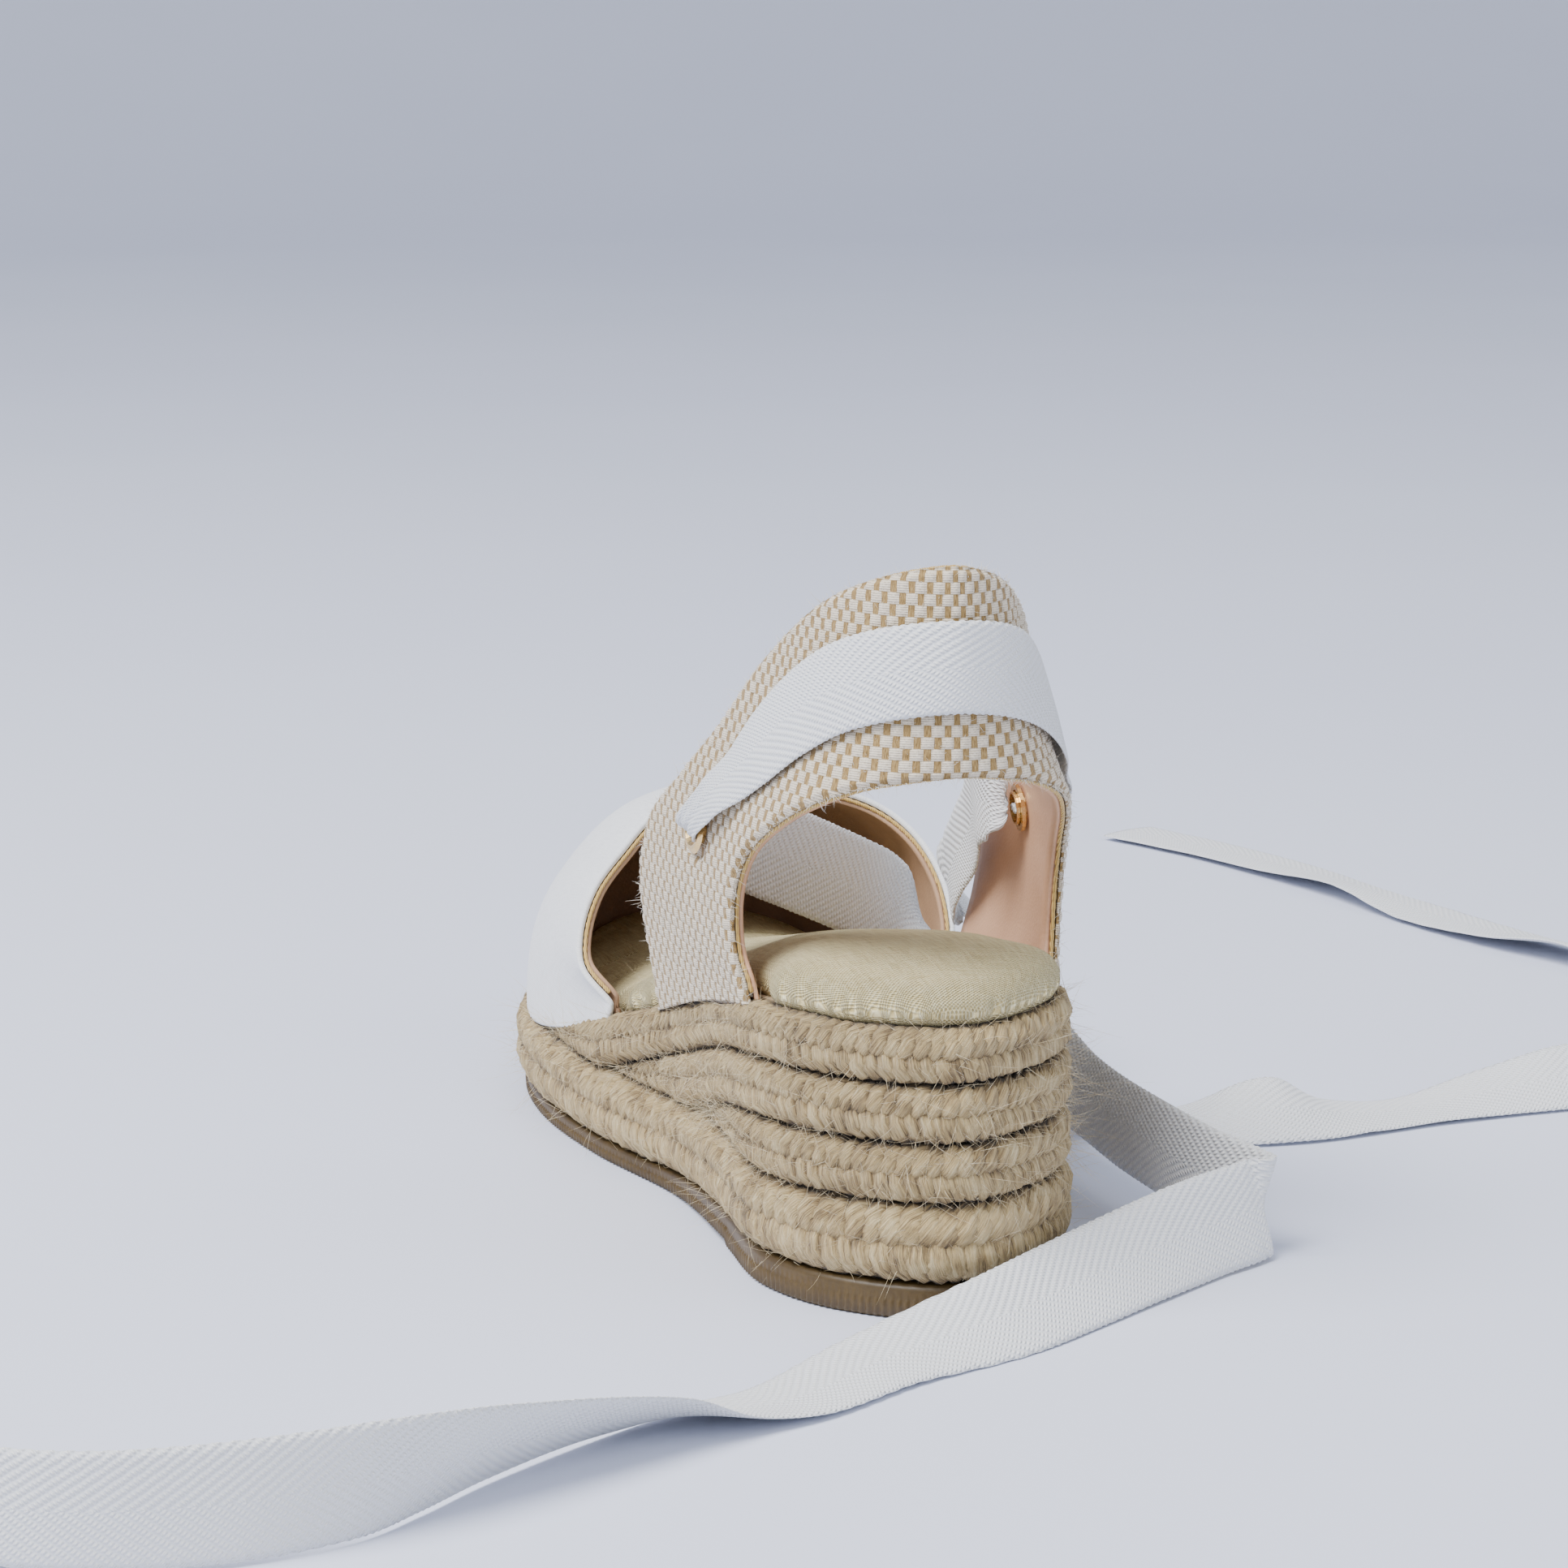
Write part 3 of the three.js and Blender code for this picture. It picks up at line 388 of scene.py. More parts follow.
OUTER_RUN = [
    (-26.6, -60.3, 80.3, 0, 0.75, -0.66, 3.6),
    (-24.8, -59.8, 80, 0.1, 0.8, -0.4, 5),
    (-21.6, -55, 77.7, 0.35, 0.5, 0.6, 12),
    (-16.9, -46.5, 73.6, 0.46, 0.1, 0.88, 19),
    (-6.4, -37, 67.8, 0.46, 0.1, 0.88, 19),
    (6.6, -25, 60.6, 0.46, 0.14, 0.86, 19),
    (20.6, -10.5, 52.2, 0.38, 0.5, 0.78, 19),
    (27.4, -8.9, 46.2, 0.15, 0.97, 0.1, 19),
    (32, -10.1, 42.8, 0, 0.98, -0.15, 19),
    (36.9, -11.9, 38.8, 0, 0.92, 0.35, 19),
    (40.6, -15.5, 31, 0, 0.6, 0.8, 19),
    (44.2, -21, 25, 0, 0.2, 0.98, 19),
    (49.6, -26.5, 20.5, 0, 0, 1, 19),
    (52.9, -34.5, 17.2, 0, 0, 1, 19),
    (54.6, -50.5, 15.6, 0, 0, 1, 19),
    (57.2, -68.5, 14.6, 0, 0.02, 1, 19),
    (61.8, -83, 12.4, 0.03, 0.1, 0.98, 19),
    (66.6, -93, 10.6, 0.12, 0.3, 0.94, 19),
    (67.8, -96.3, 10.1, 0.13, 0.36, 0.93, 19),
    (65.4, -98.2, 9.8, 0.1, 0.36, 0.93, 19),
    (53.6, -104.1, 8.9, -0.15, 0.4, 0.9, 19),
    (37.1, -113.5, 7.3, -0.4, 0.56, 0.73, 19),
    (20.6, -124.9, 6.1, -0.44, 0.63, 0.62, 19),
    (4.6, -135.5, 4.9, -0.46, 0.7, 0.5, 19),
    (-20.4, -146.5, 2.2, -0.42, 0.89, 0.18, 19),
    (-40.4, -160, 0.9, -0.3, 0.95, 0, 19),
    (-53.4, -165.5, 1.9, -0.1, 0.98, -0.16, 19),
    (-66.4, -172.3, 4.6, -0.26, 0.83, -0.48, 19),
    (-78.9, -180, 6.6, -0.35, 0.69, -0.63, 19),
    (-95.1, -190.8, 8.3, -0.31, 0.5, -0.81, 19),
    (-108.6, -200.5, 9.5, -0.2, 0.28, -0.94, 19),
    (-121.7, -207.9, 10, -0.05, 0.07, -1, 19),
    (-143.2, -213, 10.1, 0, -0.06, -1, 19),
    (-165.4, -211, 10.1, 0, 0, -1, 19),
    (-185.4, -200.5, 10.1, 0, 0, -1, 19),
    (-201.4, -183.5, 10.1, 0.1, 0, -1, 19),
    (-213.4, -164.5, 9.6, 0.3, 0.1, -0.95, 19),
]
INNER_RUN = [
    (27.2, -62.6, 81.8, 0, 0.3, 0.95, 3.6),
    (26.3, -62.5, 81.9, 0, 0.25, 0.97, 9),
    (24.6, -60.6, 82.5, 0, 0.1, 1, 14.5),
    (24.2, -53.4, 82, 0, 0.16, 0.99, 17.5),
    (26.4, -43.5, 78.6, 0, 0.45, 0.9, 19),
    (28.6, -33.5, 72.2, 0.05, 0.6, 0.8, 19),
    (29, -24, 65.6, 0.1, 0.72, 0.69, 19),
    (30, -15.5, 59.5, 0.12, 0.86, 0.5, 19),
    (31.8, -10.3, 55, 0.1, 0.94, 0.33, 19),
    (39.1, -10.3, 49, 0, 0.98, 0.1, 19),
    (47.4, -8.9, 42.5, 0, 0.99, 0.1, 19),
    (53.6, -5.5, 33, 0, 0.99, 0.1, 19),
    (56.6, -2, 22.5, 0, 1, 0, 19),
    (58.6, 0.3, 12.5, 0, 1, 0, 19),
    (62.1, 1.9, 5, 0, 1, 0, 19),
    (68.1, 2.1, 1.3, 0, 1, 0, 19),
    (78.6, -3.5, 1.6, 0.42, 0.9, 0.05, 19),
    (90.6, -11.9, 4.2, 0.42, 0.82, 0.4, 19),
    (103.6, -13.9, 5.6, 0.05, 0.86, 0.5, 19),
    (118.6, -10.2, 2.4, -0.22, 0.96, 0.14, 19),
    (135.6, -5.9, 1.2, -0.2, 0.98, 0.02, 19),
    (155.6, -3.1, 3.2, -0.08, 0.96, 0.26, 19),
    (176.6, -1.5, 5.4, -0.1, 0.86, 0.5, 19),
    (200.6, 5.5, 3.4, -0.4, 0.88, 0.24, 19),
    (222.6, 19, 1.3, -0.66, 0.75, 0, 19),
    (239.6, 40.5, 1.2, -0.88, 0.47, 0, 19),
    (246.6, 67.5, 1.2, -1, 0.05, 0, 19),
    (241.6, 94.5, 1.8, -0.97, -0.22, 0.08, 19),
    (232.1, 120.5, 3.6, -0.9, -0.33, 0.28, 19),
    (223.1, 146.5, 2, -0.94, -0.3, 0.1, 19),
    (215.1, 176.5, 1.2, -0.97, -0.22, 0.02, 19),
    (208.1, 207.5, 2.6, -0.96, -0.2, 0.2, 19),
    (201.1, 238.5, 1.6, -0.95, -0.28, 0.06, 19),
    (190.6, 271.5, 1.2, -0.9, -0.42, 0.02, 19),
    (176.6, 301.5, 1.2, -0.88, -0.5, 0, 19),
]
for name, rows in (("lace_run_outer", OUTER_RUN), ("lace_run_inner", INNER_RUN)):
    piece, path = tape(name + "_tape", rows, TAPE, 760, way=-1 if name == "lace_run_outer" else 1)
    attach(piece, "root")
    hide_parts(name)
    print(name, piece["length_mm"], "mm")

# %% [markdown]
# ## Jute braid
# Each row is a flat plait of three thick jute strands. A strand crosses from the middle to an edge
# on the outside of the plait and comes back behind it, which gives the rows of chevrons. Jute is a
# coarse fibre, so fine ends stand off the plait everywhere.

# %% Jute material
def jute_material():
    r = Recipe("jute_strand")
    u, v, _ = r.split(r.place(kind="UV"))
    twist = r.plus(r.times(v, 26), r.times(u, 0.55))
    along = r.add("CombineXYZ", {0: r.times(u, 0.22), 1: twist, 2: 0.0})
    fibre = r.noise(along, 1.0, 5, 0.65)
    fine = r.noise(r.stretched(u, twist, 0.5, 3.1), 1.0, 3)
    patch = r.noise(r.place(1.0), 210, 2)
    tone = r.plus(r.times(fibre, 0.6), r.times(fine, 0.3))
    tone = r.plus(tone, r.times(r.math("SUBTRACT", patch, 0.5), 0.35))
    # painted shade: the ambient occlusion darkens the jute's colour in the gaps where the strands close in on
    # each other
    occlusion_for_painted_shade = r.add("AmbientOcclusion", {"Distance": 0.0022}, 1, samples=8)
    tone = r.plus(tone, r.times(r.math("SUBTRACT", occlusion_for_painted_shade, 0.8), 0.3))
    colour = r.ramp(tone, [
        (0.28, (0.05, 0.03, 0.01)), (0.4, (0.32, 0.21, 0.085)),
        (0.5, (0.6, 0.43, 0.19)), (0.68, (0.9, 0.74, 0.42)),
    ])
    relief = r.plus(fibre, r.times(fine, 0.5))
    normal = r.bump(relief, 1.0, 0.0016)
    return r.finish(colour, 0.75, normal, Sheen_Weight=0.15)


def hair_material(name, colours):
    r = Recipe(name)
    patch = r.noise(r.place(1.0), 900, 1)
    colour = r.ramp(patch, [(0.35, colours[0]), (0.65, colours[1])])
    return r.finish(colour, 0.6, Sheen_Weight=0.2)


JUTE = jute_material()
FIBRE = hair_material("jute_fibre", [(0.5, 0.38, 0.2), (0.85, 0.74, 0.52)])


# %% Fibres that stand off a surface
def fibres(name, roots, outs, material, length=(3, 9), radius=0.05, lean=0.8, seed=1):
    """Fine curved fibres, 3-sided and tapered, from roots in mm that point outs."""
    rng = np.random.default_rng(seed)
    count = len(roots)
    wild = unit(rng.normal(size=(count, 3)))
    way = unit(outs * (1 - lean) + wild * lean + outs * 0.25)
    bend = unit(rng.normal(size=(count, 3))) * rng.uniform(0.2, 1.1, (count, 1))
    reach = rng.uniform(*length, (count, 1)) * rng.uniform(0.4, 1, (count, 1))
    steps = np.linspace(0, 1, 5)
    side = unit(np.cross(way, bend + 1e-3))
    other = np.cross(way, side)
    rings = []
    for t in steps:
        centre = roots + way * reach * t + bend * reach * t * t * 0.45
        r = radius * (1 - 0.8 * t)
        for k in range(3):
            a = 2 * math.pi * k / 3
            rings.append(centre + (side * math.cos(a) + other * math.sin(a)) * r)
    points = np.stack(rings, 1).reshape(count, 15, 3)
    points[..., 2] = np.maximum(points[..., 2], 0.05)
    pattern = grid_faces(5, 3, closed_columns=True) + [(0, 2, 1), (12, 13, 14)]
    faces = [tuple(i * 15 + v for v in f) for i in range(count) for f in pattern]
    piece = turned_out(mesh_object(name, to_part(points.reshape(-1, 3)), faces, material))
    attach(piece, "root")
    return piece


# %% Strand of a plait
def strand(centres, ways, outs, wide, deep, sides=12):
    """Rings of points round a strand's centres, in mm, and the distance gone along it at each."""
    across = unit(np.cross(ways, outs))
    out = np.cross(across, ways)
    angle = np.linspace(0, 2 * math.pi, sides, endpoint=False)
    turned = 5 * angle[None] + np.arange(len(centres))[:, None] * 0.16
    lobes = 1 + 0.07 * np.sin(turned)[..., None] * (sides > 12)
    ring = (
        centres[:, None]
        + across[:, None] * (np.cos(angle)[None, :, None] * wide[:, None, None]) * lobes
        + out[:, None] * (np.sin(angle)[None, :, None] * deep[:, None, None]) * lobes
    )
    gone = np.concatenate([[0], np.cumsum(np.linalg.norm(np.diff(centres, axis=0), axis=1))])
    return ring, gone


LOWEST_ROW = 1.7  # a row ends where it would be lower than this, in mm
HAIRS = 700  # fibres on each strand


def plait(name, row, pitch, seed):
    """A row of braid round the sole, as three strands in one mesh."""
    rng = np.random.default_rng(seed)
    s = np.arange(-GIRTH / 2, GIRTH / 2, 0.55)
    if row == 0:
        pitch = GIRTH / round(GIRTH / pitch)
        s = np.linspace(-GIRTH / 2, GIRTH / 2, int(GIRTH / 0.6), endpoint=False)
    edges = row_edges(outline(s)[0][:, 1])
    tall = edges[row + 1] - edges[row]
    if row:
        middle = len(s) // 2
        before, after = (tall > LOWEST_ROW)[:middle], (tall > LOWEST_ROW)[middle:]
        low = 0 if before.all() else middle - np.argmin(before[::-1])
        high = len(s) if after.all() else middle + np.argmin(after)
        s = s[low:high]
    closed = row == 0
    vertices, faces, uv = [], [], []
    roots, outs_all = [], []
    sides = 18
    for k in range(3):
        theta = 2 * math.pi * (s / pitch + k / 3)
        wander = np.interp(s, np.linspace(s[0], s[-1], 90), rng.normal(0, 1, 90)) * (0 if closed else 1)
        point, out = outline(s)
        y = point[:, 1]
        edges = row_edges(y)
        height = edges[row + 1] - edges[row] - (0.1 if row else 0)
        thick = np.minimum(1, height / 9)
        wide, deep = height * 0.222 + 0.05 * wander * thick, np.minimum(height * 0.2, 2.4) + 0.15 * thick
        rise = (height / 2 - wide * 0.86) * np.sin(theta)
        inset = 3.4 - 1.55 * np.sin(2 * theta) * thick + 0.5 * np.abs(np.sin(theta)) ** 2
        inset = inset + 0.12 * wander
        centres = point - out * inset[:, None]
        centres[:, 2] = (edges[row] + edges[row + 1]) / 2 + rise
        if closed:
            ways = unit(np.roll(centres, -1, 0) - np.roll(centres, 1, 0))
        else:
            ways = unit(np.gradient(centres, axis=0))
        fat = 1 + 0.05 * np.sin(theta * 2 + k) + 0.03 * wander
        ring, gone = strand(centres, ways, out, wide * fat, deep * fat, sides)
        base = sum(len(v) for v in vertices)
        vertices.append(ring.reshape(-1, 3))
        quads = grid_faces(len(s), sides, closed_rows=closed, closed_columns=True, start=base)
        faces += quads
        total = gone[-1] + (np.linalg.norm(centres[0] - centres[-1]) if closed else 0)
        for i in range(len(s) if closed else len(s) - 1):
            u0, u1 = gone[i] + 1000 * k, (gone[i + 1] if i + 1 < len(s) else total) + 1000 * k
            for j in range(sides):
                v0, v1 = j / sides, (j + 1) / sides
                uv += [(u0, v0), (u0, v1), (u1, v1), (u1, v0)]
        if not closed:
            last = base + (len(s) - 1) * sides
            faces.append(tuple(base + j for j in reversed(range(sides))))
            faces.append(tuple(last + j for j in range(sides)))
            uv += [(0, 0)] * (2 * sides)
        pick = rng.integers(0, len(s), HAIRS)
        turn = rng.uniform(0.1, math.pi - 0.1, HAIRS)
        lift = np.sin(turn)[:, None]
        tops = np.cross(unit(np.cross(ways[pick], out[pick])), ways[pick])
        root = centres[pick] + tops * deep[pick, None] * lift * 0.9
        root[:, 2] += np.cos(turn) * wide[pick] * 0.9
        roots.append(root)
        outs_all.append(unit(out[pick] + ways[pick] * rng.normal(0, 1.3, (HAIRS, 1))))
    piece = mesh_object(name, to_part(np.concatenate(vertices)), faces, JUTE, uv)
    turned_out(piece)
    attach(piece, "root")
    roots, outs_all = np.concatenate(roots), np.concatenate(outs_all)
    hair = fibres(name + "_fibres", roots, outs_all, FIBRE, (2, 14), 0.05, 0.9, seed)
    print(name, len(piece.data.polygons), "faces")
    return piece


# %% The four rows
ROWS = [
    ("braid_bottom", 10.6), ("braid_lower_middle", 8.6), ("braid_upper_middle", 8.6), ("braid_top", 8.3),
]
for row, (name, pitch) in enumerate(ROWS):
    piece = plait(name + "_plait", row, pitch, 20 + row)
    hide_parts(name)

# %% [markdown]
# ## Outsole
# The rubber outsole is moulded with fine upright ribs along its lower edge, and it steps down to
# the heel tread behind the arch.

# %% Outsole material
def rubber_material():
    r = Recipe("gum_rubber")
    speck = r.noise(r.place(1.0), 900, 4)
    cloud = r.noise(r.place(1.0), 40, 3)
    colour = r.ramp(r.plus(r.times(speck, 0.4), r.times(cloud, 0.6)),
                    [(0.3, (0.055, 0.032, 0.009)), (0.7, (0.11, 0.068, 0.02))])
    normal = r.bump(speck, 0.2, 0.0002)
    return r.finish(colour, 0.42, normal)


RUBBER = rubber_material()


# %% Outsole piece
def outsole():
    count = 1900
    s = np.linspace(0, GIRTH, count, endpoint=False)
    point, out = outline(s)
    rib = 0.22 * np.sin(2 * math.pi * s / (GIRTH / 370))
    profile = [
        (7, 0, 0), (2.1, 0, 0), (1.6, 0.25, 1), (1.5, 1.9, 1),
        (1.75, 2.1, 0), (1.6, 3.0, 0), (2.2, SOLE_THICKNESS, 0), (7, SOLE_THICKNESS, 0),
    ]
    rings = []
    for inset, rise, ribbed in profile:
        p = point - out * (inset - ribbed * rib)[:, None] if ribbed else point - out * inset
        y = p[:, 1]
        arch = np.where(y <= 0.235 * LENGTH, 0, 0.4 * (sole_bottom(y) - toe_lift(y)) + toe_lift(y))
        top = sole_bottom(y) + SOLE_THICKNESS
        p[:, 2] = lerp(arch, top, rise / SOLE_THICKNESS)
        rings.append(p)
    size = len(profile)
    vertices = np.stack(rings, 1).reshape(-1, 3)
    faces = []
    for i in range(count):
        a, b = i * size, (i + 1) % count * size
        for j in range(size - 1):
            faces.append((a + j, b + j, b + j + 1, a + j + 1))
    for j in (0, size - 1):
        loop = [Vector((*vertices[i * size + j][:2], 0)) for i in range(count)]
        for tri in tessellate_polygon([loop]):
            faces.append(tuple(i * size + j for i in tri))
    piece = turned_out(mesh_object("outsole_moulded", to_part(vertices), faces, RUBBER))
    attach(piece, "root")
    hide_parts("outsole")
    return piece


outsole()
print("outsole made")

# %% [markdown]
# ## Strap and toe cap
# The strap is a basket weave: flat bundles of white cotton go over and under tan jute strands. The
# toe cap is plain white canvas. Both are lined with thin leather and edged with a gold thread.

# %% Surfaces of the strap and the toe cap
STRAP_LOW_RISE, STRAP_HIGH_RISE = 45.6, 82.2  # of the strap's edges at the back, over the heel's top
CAP_RISE = 51  # of the toe cap's throat over the ball
MID_STRAP = np.array([0, 0.3 * LENGTH, HEEL_TOP + STRAP_LOW_RISE * 0.7])
MID_CAP = np.array([0, 0.68 * LENGTH, BALL_TOP])
LOWER = [
    (-1.2, 0.173, 0.14), (-1.7, 0.173, 0.36), (-0.8, 0.153, 0.56), (2.2, 0.108, 0.745),
    (7.2, 0.063, 0.88), (13.6, 0.034, 0.95), (21.4, 0.014, 0.985), (HEEL, 0.007, 1),
]
UPPER_OUTER = [
    (-4.6, 0.414, 0.02), (-6, 0.402, 0.14), (-5.6, 0.373, 0.29), (-3, 0.306, 0.43),
    (1, 0.245, 0.575), (5.8, 0.17, 0.765), (12.2, 0.092, 0.915), (20.5, 0.04, 0.98), (HEEL, 0.018, 1),
]
UPPER_INNER = [
    (-3.6, 0.405, 0.02), (-4.6, 0.395, 0.15), (-4.2, 0.366, 0.3), (-2.4, 0.306, 0.43),
    (1.4, 0.245, 0.57), (6.6, 0.165, 0.74), (13.6, 0.092, 0.885), (21.5, 0.04, 0.97), (HEEL, 0.018, 1),
]
side_rim = dense[: np.argmax(dense[:, 1]) + 1]
far_rim = dense[np.argmax(dense[:, 1]):][::-1]


def foot_point(y, side, inset):
    edge = side_rim if side > 0 else far_rim
    half = np.interp(y, edge[:, 1], edge[:, 0])
    return (half - side * inset, y, wedge_top(y) + 0.4)


def strap_edge(outer, inner, rise, y):
    rows = lambda side, table: [foot_point(y, side, 1)] + [
        (side * (HEEL - inward), share * LENGTH, HEEL_TOP + rise * part) for inward, share, part in table
    ]
    return spline(rows(-1, outer) + rows(1, inner)[::-1][1:])


BACK, FRONT = 0.155 * LENGTH, 0.41 * LENGTH
strap_low = strap_edge(LOWER, LOWER, STRAP_LOW_RISE, BACK)
strap_high = strap_edge(UPPER_OUTER, UPPER_INNER, STRAP_HIGH_RISE, FRONT)


def strap_surface(us, vs):
    low = np.array([strap_low(u) for u in us])[:, None]
    high = np.array([strap_high(u) for u in us])[:, None]
    v = np.asarray(vs)[None, :, None]
    points = lerp(low, high, v)
    slope = wedge_top(lerp(BACK, FRONT, v)) - lerp(wedge_top(BACK), wedge_top(FRONT), v)
    ends = np.minimum(us, 1 - us)[:, None, None]
    points[..., 2:] += slope * (1 - smoothstep(ends, 0, 0.08)) - 1.4 * (1 - smoothstep(ends, 0, 0.03))
    return points


TOPLINE = [
    (-42, 0.529, 0.4), (-41.2, 0.554, 0.52), (-37.6, 0.574, 0.665), (-30.3, 0.604, 0.79),
    (-17.6, 0.646, 0.945), (1, 0.669, 1), (18, 0.666, 0.975), (29.5, 0.652, 0.9),
    (36.2, 0.627, 0.79), (39.6, 0.594, 0.64), (39.6, 0.561, 0.48),
]
CAP_END = 0.502 * LENGTH
cap_top = spline(
    [np.add(foot_point(CAP_END, -1, 1.8), (0.6, 0, 1.5))]
    + [(x, share * LENGTH, BALL_TOP + CAP_RISE * part) for x, share, part in TOPLINE]
    + [np.add(foot_point(CAP_END, 1, 1.8), (-0.6, 0, 1.5))]
)
around = np.linspace(0, GIRTH, 4000)
rim_y = outline(around)[0]
cap_inner_s = around[np.argmax((rim_y[:, 0] > 0) & (rim_y[:, 1] >= CAP_END))]
cap_outer_s = around[len(around) - 1 - np.argmax(((rim_y[:, 0] < 0) & (rim_y[:, 1] >= CAP_END))[::-1])]


def cap_surface(us, vs):
    point, out = outline(lerp(cap_outer_s, cap_inner_s, np.asarray(us)))
    foot = point - out * 1.8
    foot[:, 2] = wedge_top(foot[:, 1]) - 1.2
    top = np.array([cap_top(u) for u in us])
    rise = (top - foot)[:, 2:]
    reach = (foot - top) * np.array([1, 1, 0])
    first, second = top + reach * 0.5, foot + reach * 0.04
    first[:, 2:] = top[:, 2:] - rise * 0.04
    second[:, 2:] = foot[:, 2:] + rise * 0.62
    v = np.asarray(vs)[None, :, None]
    a, b, c, d = (p[:, None] for p in (top, first, second, foot))
    return a * (1 - v) ** 3 + 3 * b * v * (1 - v) ** 2 + 3 * c * v**2 * (1 - v) + d * v**3


def outward(points, middle):
    """Directions out of a grid of points."""
    du, dv = np.gradient(points, axis=0), np.gradient(points, axis=1)
    out = unit(np.cross(du, dv))
    flip = np.sign(np.sum(out * (points - middle), axis=-1, keepdims=True))
    return out * flip


def shell(name, points, outs, near, far, material, uv_mm, lift=None):
    """A closed sheet between two depths below a grid of points; lift raises its outer face."""
    rows, columns = points.shape[:2]
    top = points - outs * near
    if lift is not None:
        top = top + outs * lift[..., None]
    keep = list(range(0, columns - 1, max(1, columns // 12))) + [columns - 1]
    low = (points - outs * far)[:, keep]
    ring = np.concatenate([top, low[:, ::-1]], 1)
    uv_ring = np.concatenate([uv_mm, uv_mm[:, keep][:, ::-1]], 1).reshape(-1, 2)
    size = ring.shape[1]
    faces = grid_faces(rows, size, closed_columns=True)
    uv = uv_ring[np.array(faces).ravel()]
    caps = [tuple(range(size)), tuple((rows - 1) * size + j for j in range(size))]
    uv = np.concatenate([uv, uv_ring[list(caps[0])], uv_ring[list(caps[1])]])
    piece = turned_out(mesh_object(name, to_part(ring.reshape(-1, 3)), faces + caps, material, uv))
    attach(piece, "root")
    return piece


def cloth_uv(points):
    """Millimetres along and across a grid of points, measured from its middle line."""
    middle = points[:, points.shape[1] // 2]
    length = np.concatenate([[0], np.cumsum(np.linalg.norm(np.diff(middle, axis=0), axis=1))])
    steps = np.linalg.norm(np.diff(points, axis=1), axis=2)
    across = np.concatenate([np.zeros((len(points), 1)), np.cumsum(steps, 1)], 1)
    across -= across[:, -1:] / 2
    return np.stack([np.repeat(length[:, None], points.shape[1], 1), across], -1)


# %% Basket weave
FLOAT, BAND = 1.95, 2.15  # spacing of the jute strands and of the cotton bundles, in mm


def weave_lift(uv):
    """Height of the weave at each point: long cotton floats, with jute standing between them."""
    x, y = uv[..., 0] / FLOAT, uv[..., 1] / BAND
    i, j = np.floor(x), np.floor(y)
    dx, dy = (x - i - 0.5) * FLOAT, (y - j - 0.5) * BAND
    over = (i + j) % 2 == 0
    reach = np.where(over, np.abs(dx), FLOAT - np.abs(dx))
    cotton = 0.62 * np.sqrt(np.clip(1 - (reach / 1.32) ** 2, 0, 1)) * (1 - 0.55 * np.abs(dy / (BAND / 2)) ** 5)
    jute = 0.36 * np.sqrt(np.clip(1 - (np.abs(np.where(over, FLOAT, dx)) / 0.85) ** 2, 0, 1))
    return np.maximum(cotton, jute) - 0.2


def weave_material():
    r = Recipe("basket_weave")
    u, v, _ = r.split(r.place(kind="UV"))
    wobble = r.noise(r.place(1.0), 260, 2)
    u = r.plus(u, r.times(r.math("SUBTRACT", wobble, 0.5), 0.35))
    x, y = r.math("DIVIDE", u, FLOAT), r.math("DIVIDE", v, BAND)
    i, j = r.math("FLOOR", x), r.math("FLOOR", y)
    parity = r.math("PINGPONG", r.plus(i, j), 1.0)
    off = r.math("ABSOLUTE", r.math("SUBTRACT", r.math("SUBTRACT", x, i), 0.5))
    near = r.math("GREATER_THAN", off, 0.36)
    cotton = r.math("MAXIMUM", r.math("SUBTRACT", 1.0, parity), near)
    thread = r.math("SINE", r.times(v, 2 * math.pi / 0.43))
    fuzz = r.noise(r.place(1.0), 2400, 3)
    stretch = r.noise(r.stretched(u, v, 5.0, 0.9), 1.0, 4)
    tone = r.plus(r.times(thread, 0.12), r.times(fuzz, 0.6))
    white = r.ramp(tone, [(0.1, (0.42, 0.34, 0.24)), (0.3, (0.7, 0.61, 0.48)), (0.55, (0.8, 0.71, 0.57))])
    tan = r.ramp(stretch, [(0.3, (0.11, 0.06, 0.012)), (0.5, (0.3, 0.185, 0.06)), (0.72, (0.47, 0.32, 0.13))])
    colour = r.mix(cotton, tan, white)
    # painted shade: a dark brown is mixed into the weave where the ambient occlusion finds the gaps between
    # cotton and jute closed in
    occlusion_for_painted_shade = r.add("AmbientOcclusion", {"Distance": 0.0012}, 1, samples=8)
    colour = r.mix(r.ramp(occlusion_for_painted_shade, [(0.5, (0.8, 0.8, 0.8)), (0.93, (0, 0, 0))]), colour, (0.1, 0.06, 0.02))
    relief = r.mix(cotton, stretch, r.plus(r.times(thread, 0.3), fuzz))
    normal = r.bump(relief, 0.7, 0.0002)
    return r.finish(colour, 0.85, normal, Sheen_Weight=0.2)


WEAVE = weave_material()
us, vs = np.linspace(0, 1, 600), np.linspace(-0.008, 1.008, 126)
cloth = strap_surface(us, vs)
cloth_out = outward(cloth, MID_STRAP)
level_s = np.linspace(-GIRTH / 2, GIRTH / 2, 1500)
level_rim = outline(level_s)[0][:, :2]
flat = cloth[..., :2].reshape(-1, 2)
nearest = np.concatenate([
    np.argmin(((part[:, None] - level_rim[None]) ** 2).sum(-1), 1) for part in np.array_split(flat, 60)
])
offset = np.sum((flat - level_rim[nearest]) * unit(np.gradient(level_rim, axis=0))[nearest], axis=1)
round_shoe = (level_s[nearest] + offset).reshape(cloth.shape[:2])
strap_uv = np.stack([round_shoe, cloth[..., 2] * 1.03], -1)
lift = weave_lift(strap_uv)
OUTER_EYELET, INNER_EYELET = 0.187, 0.805  # places along the strap
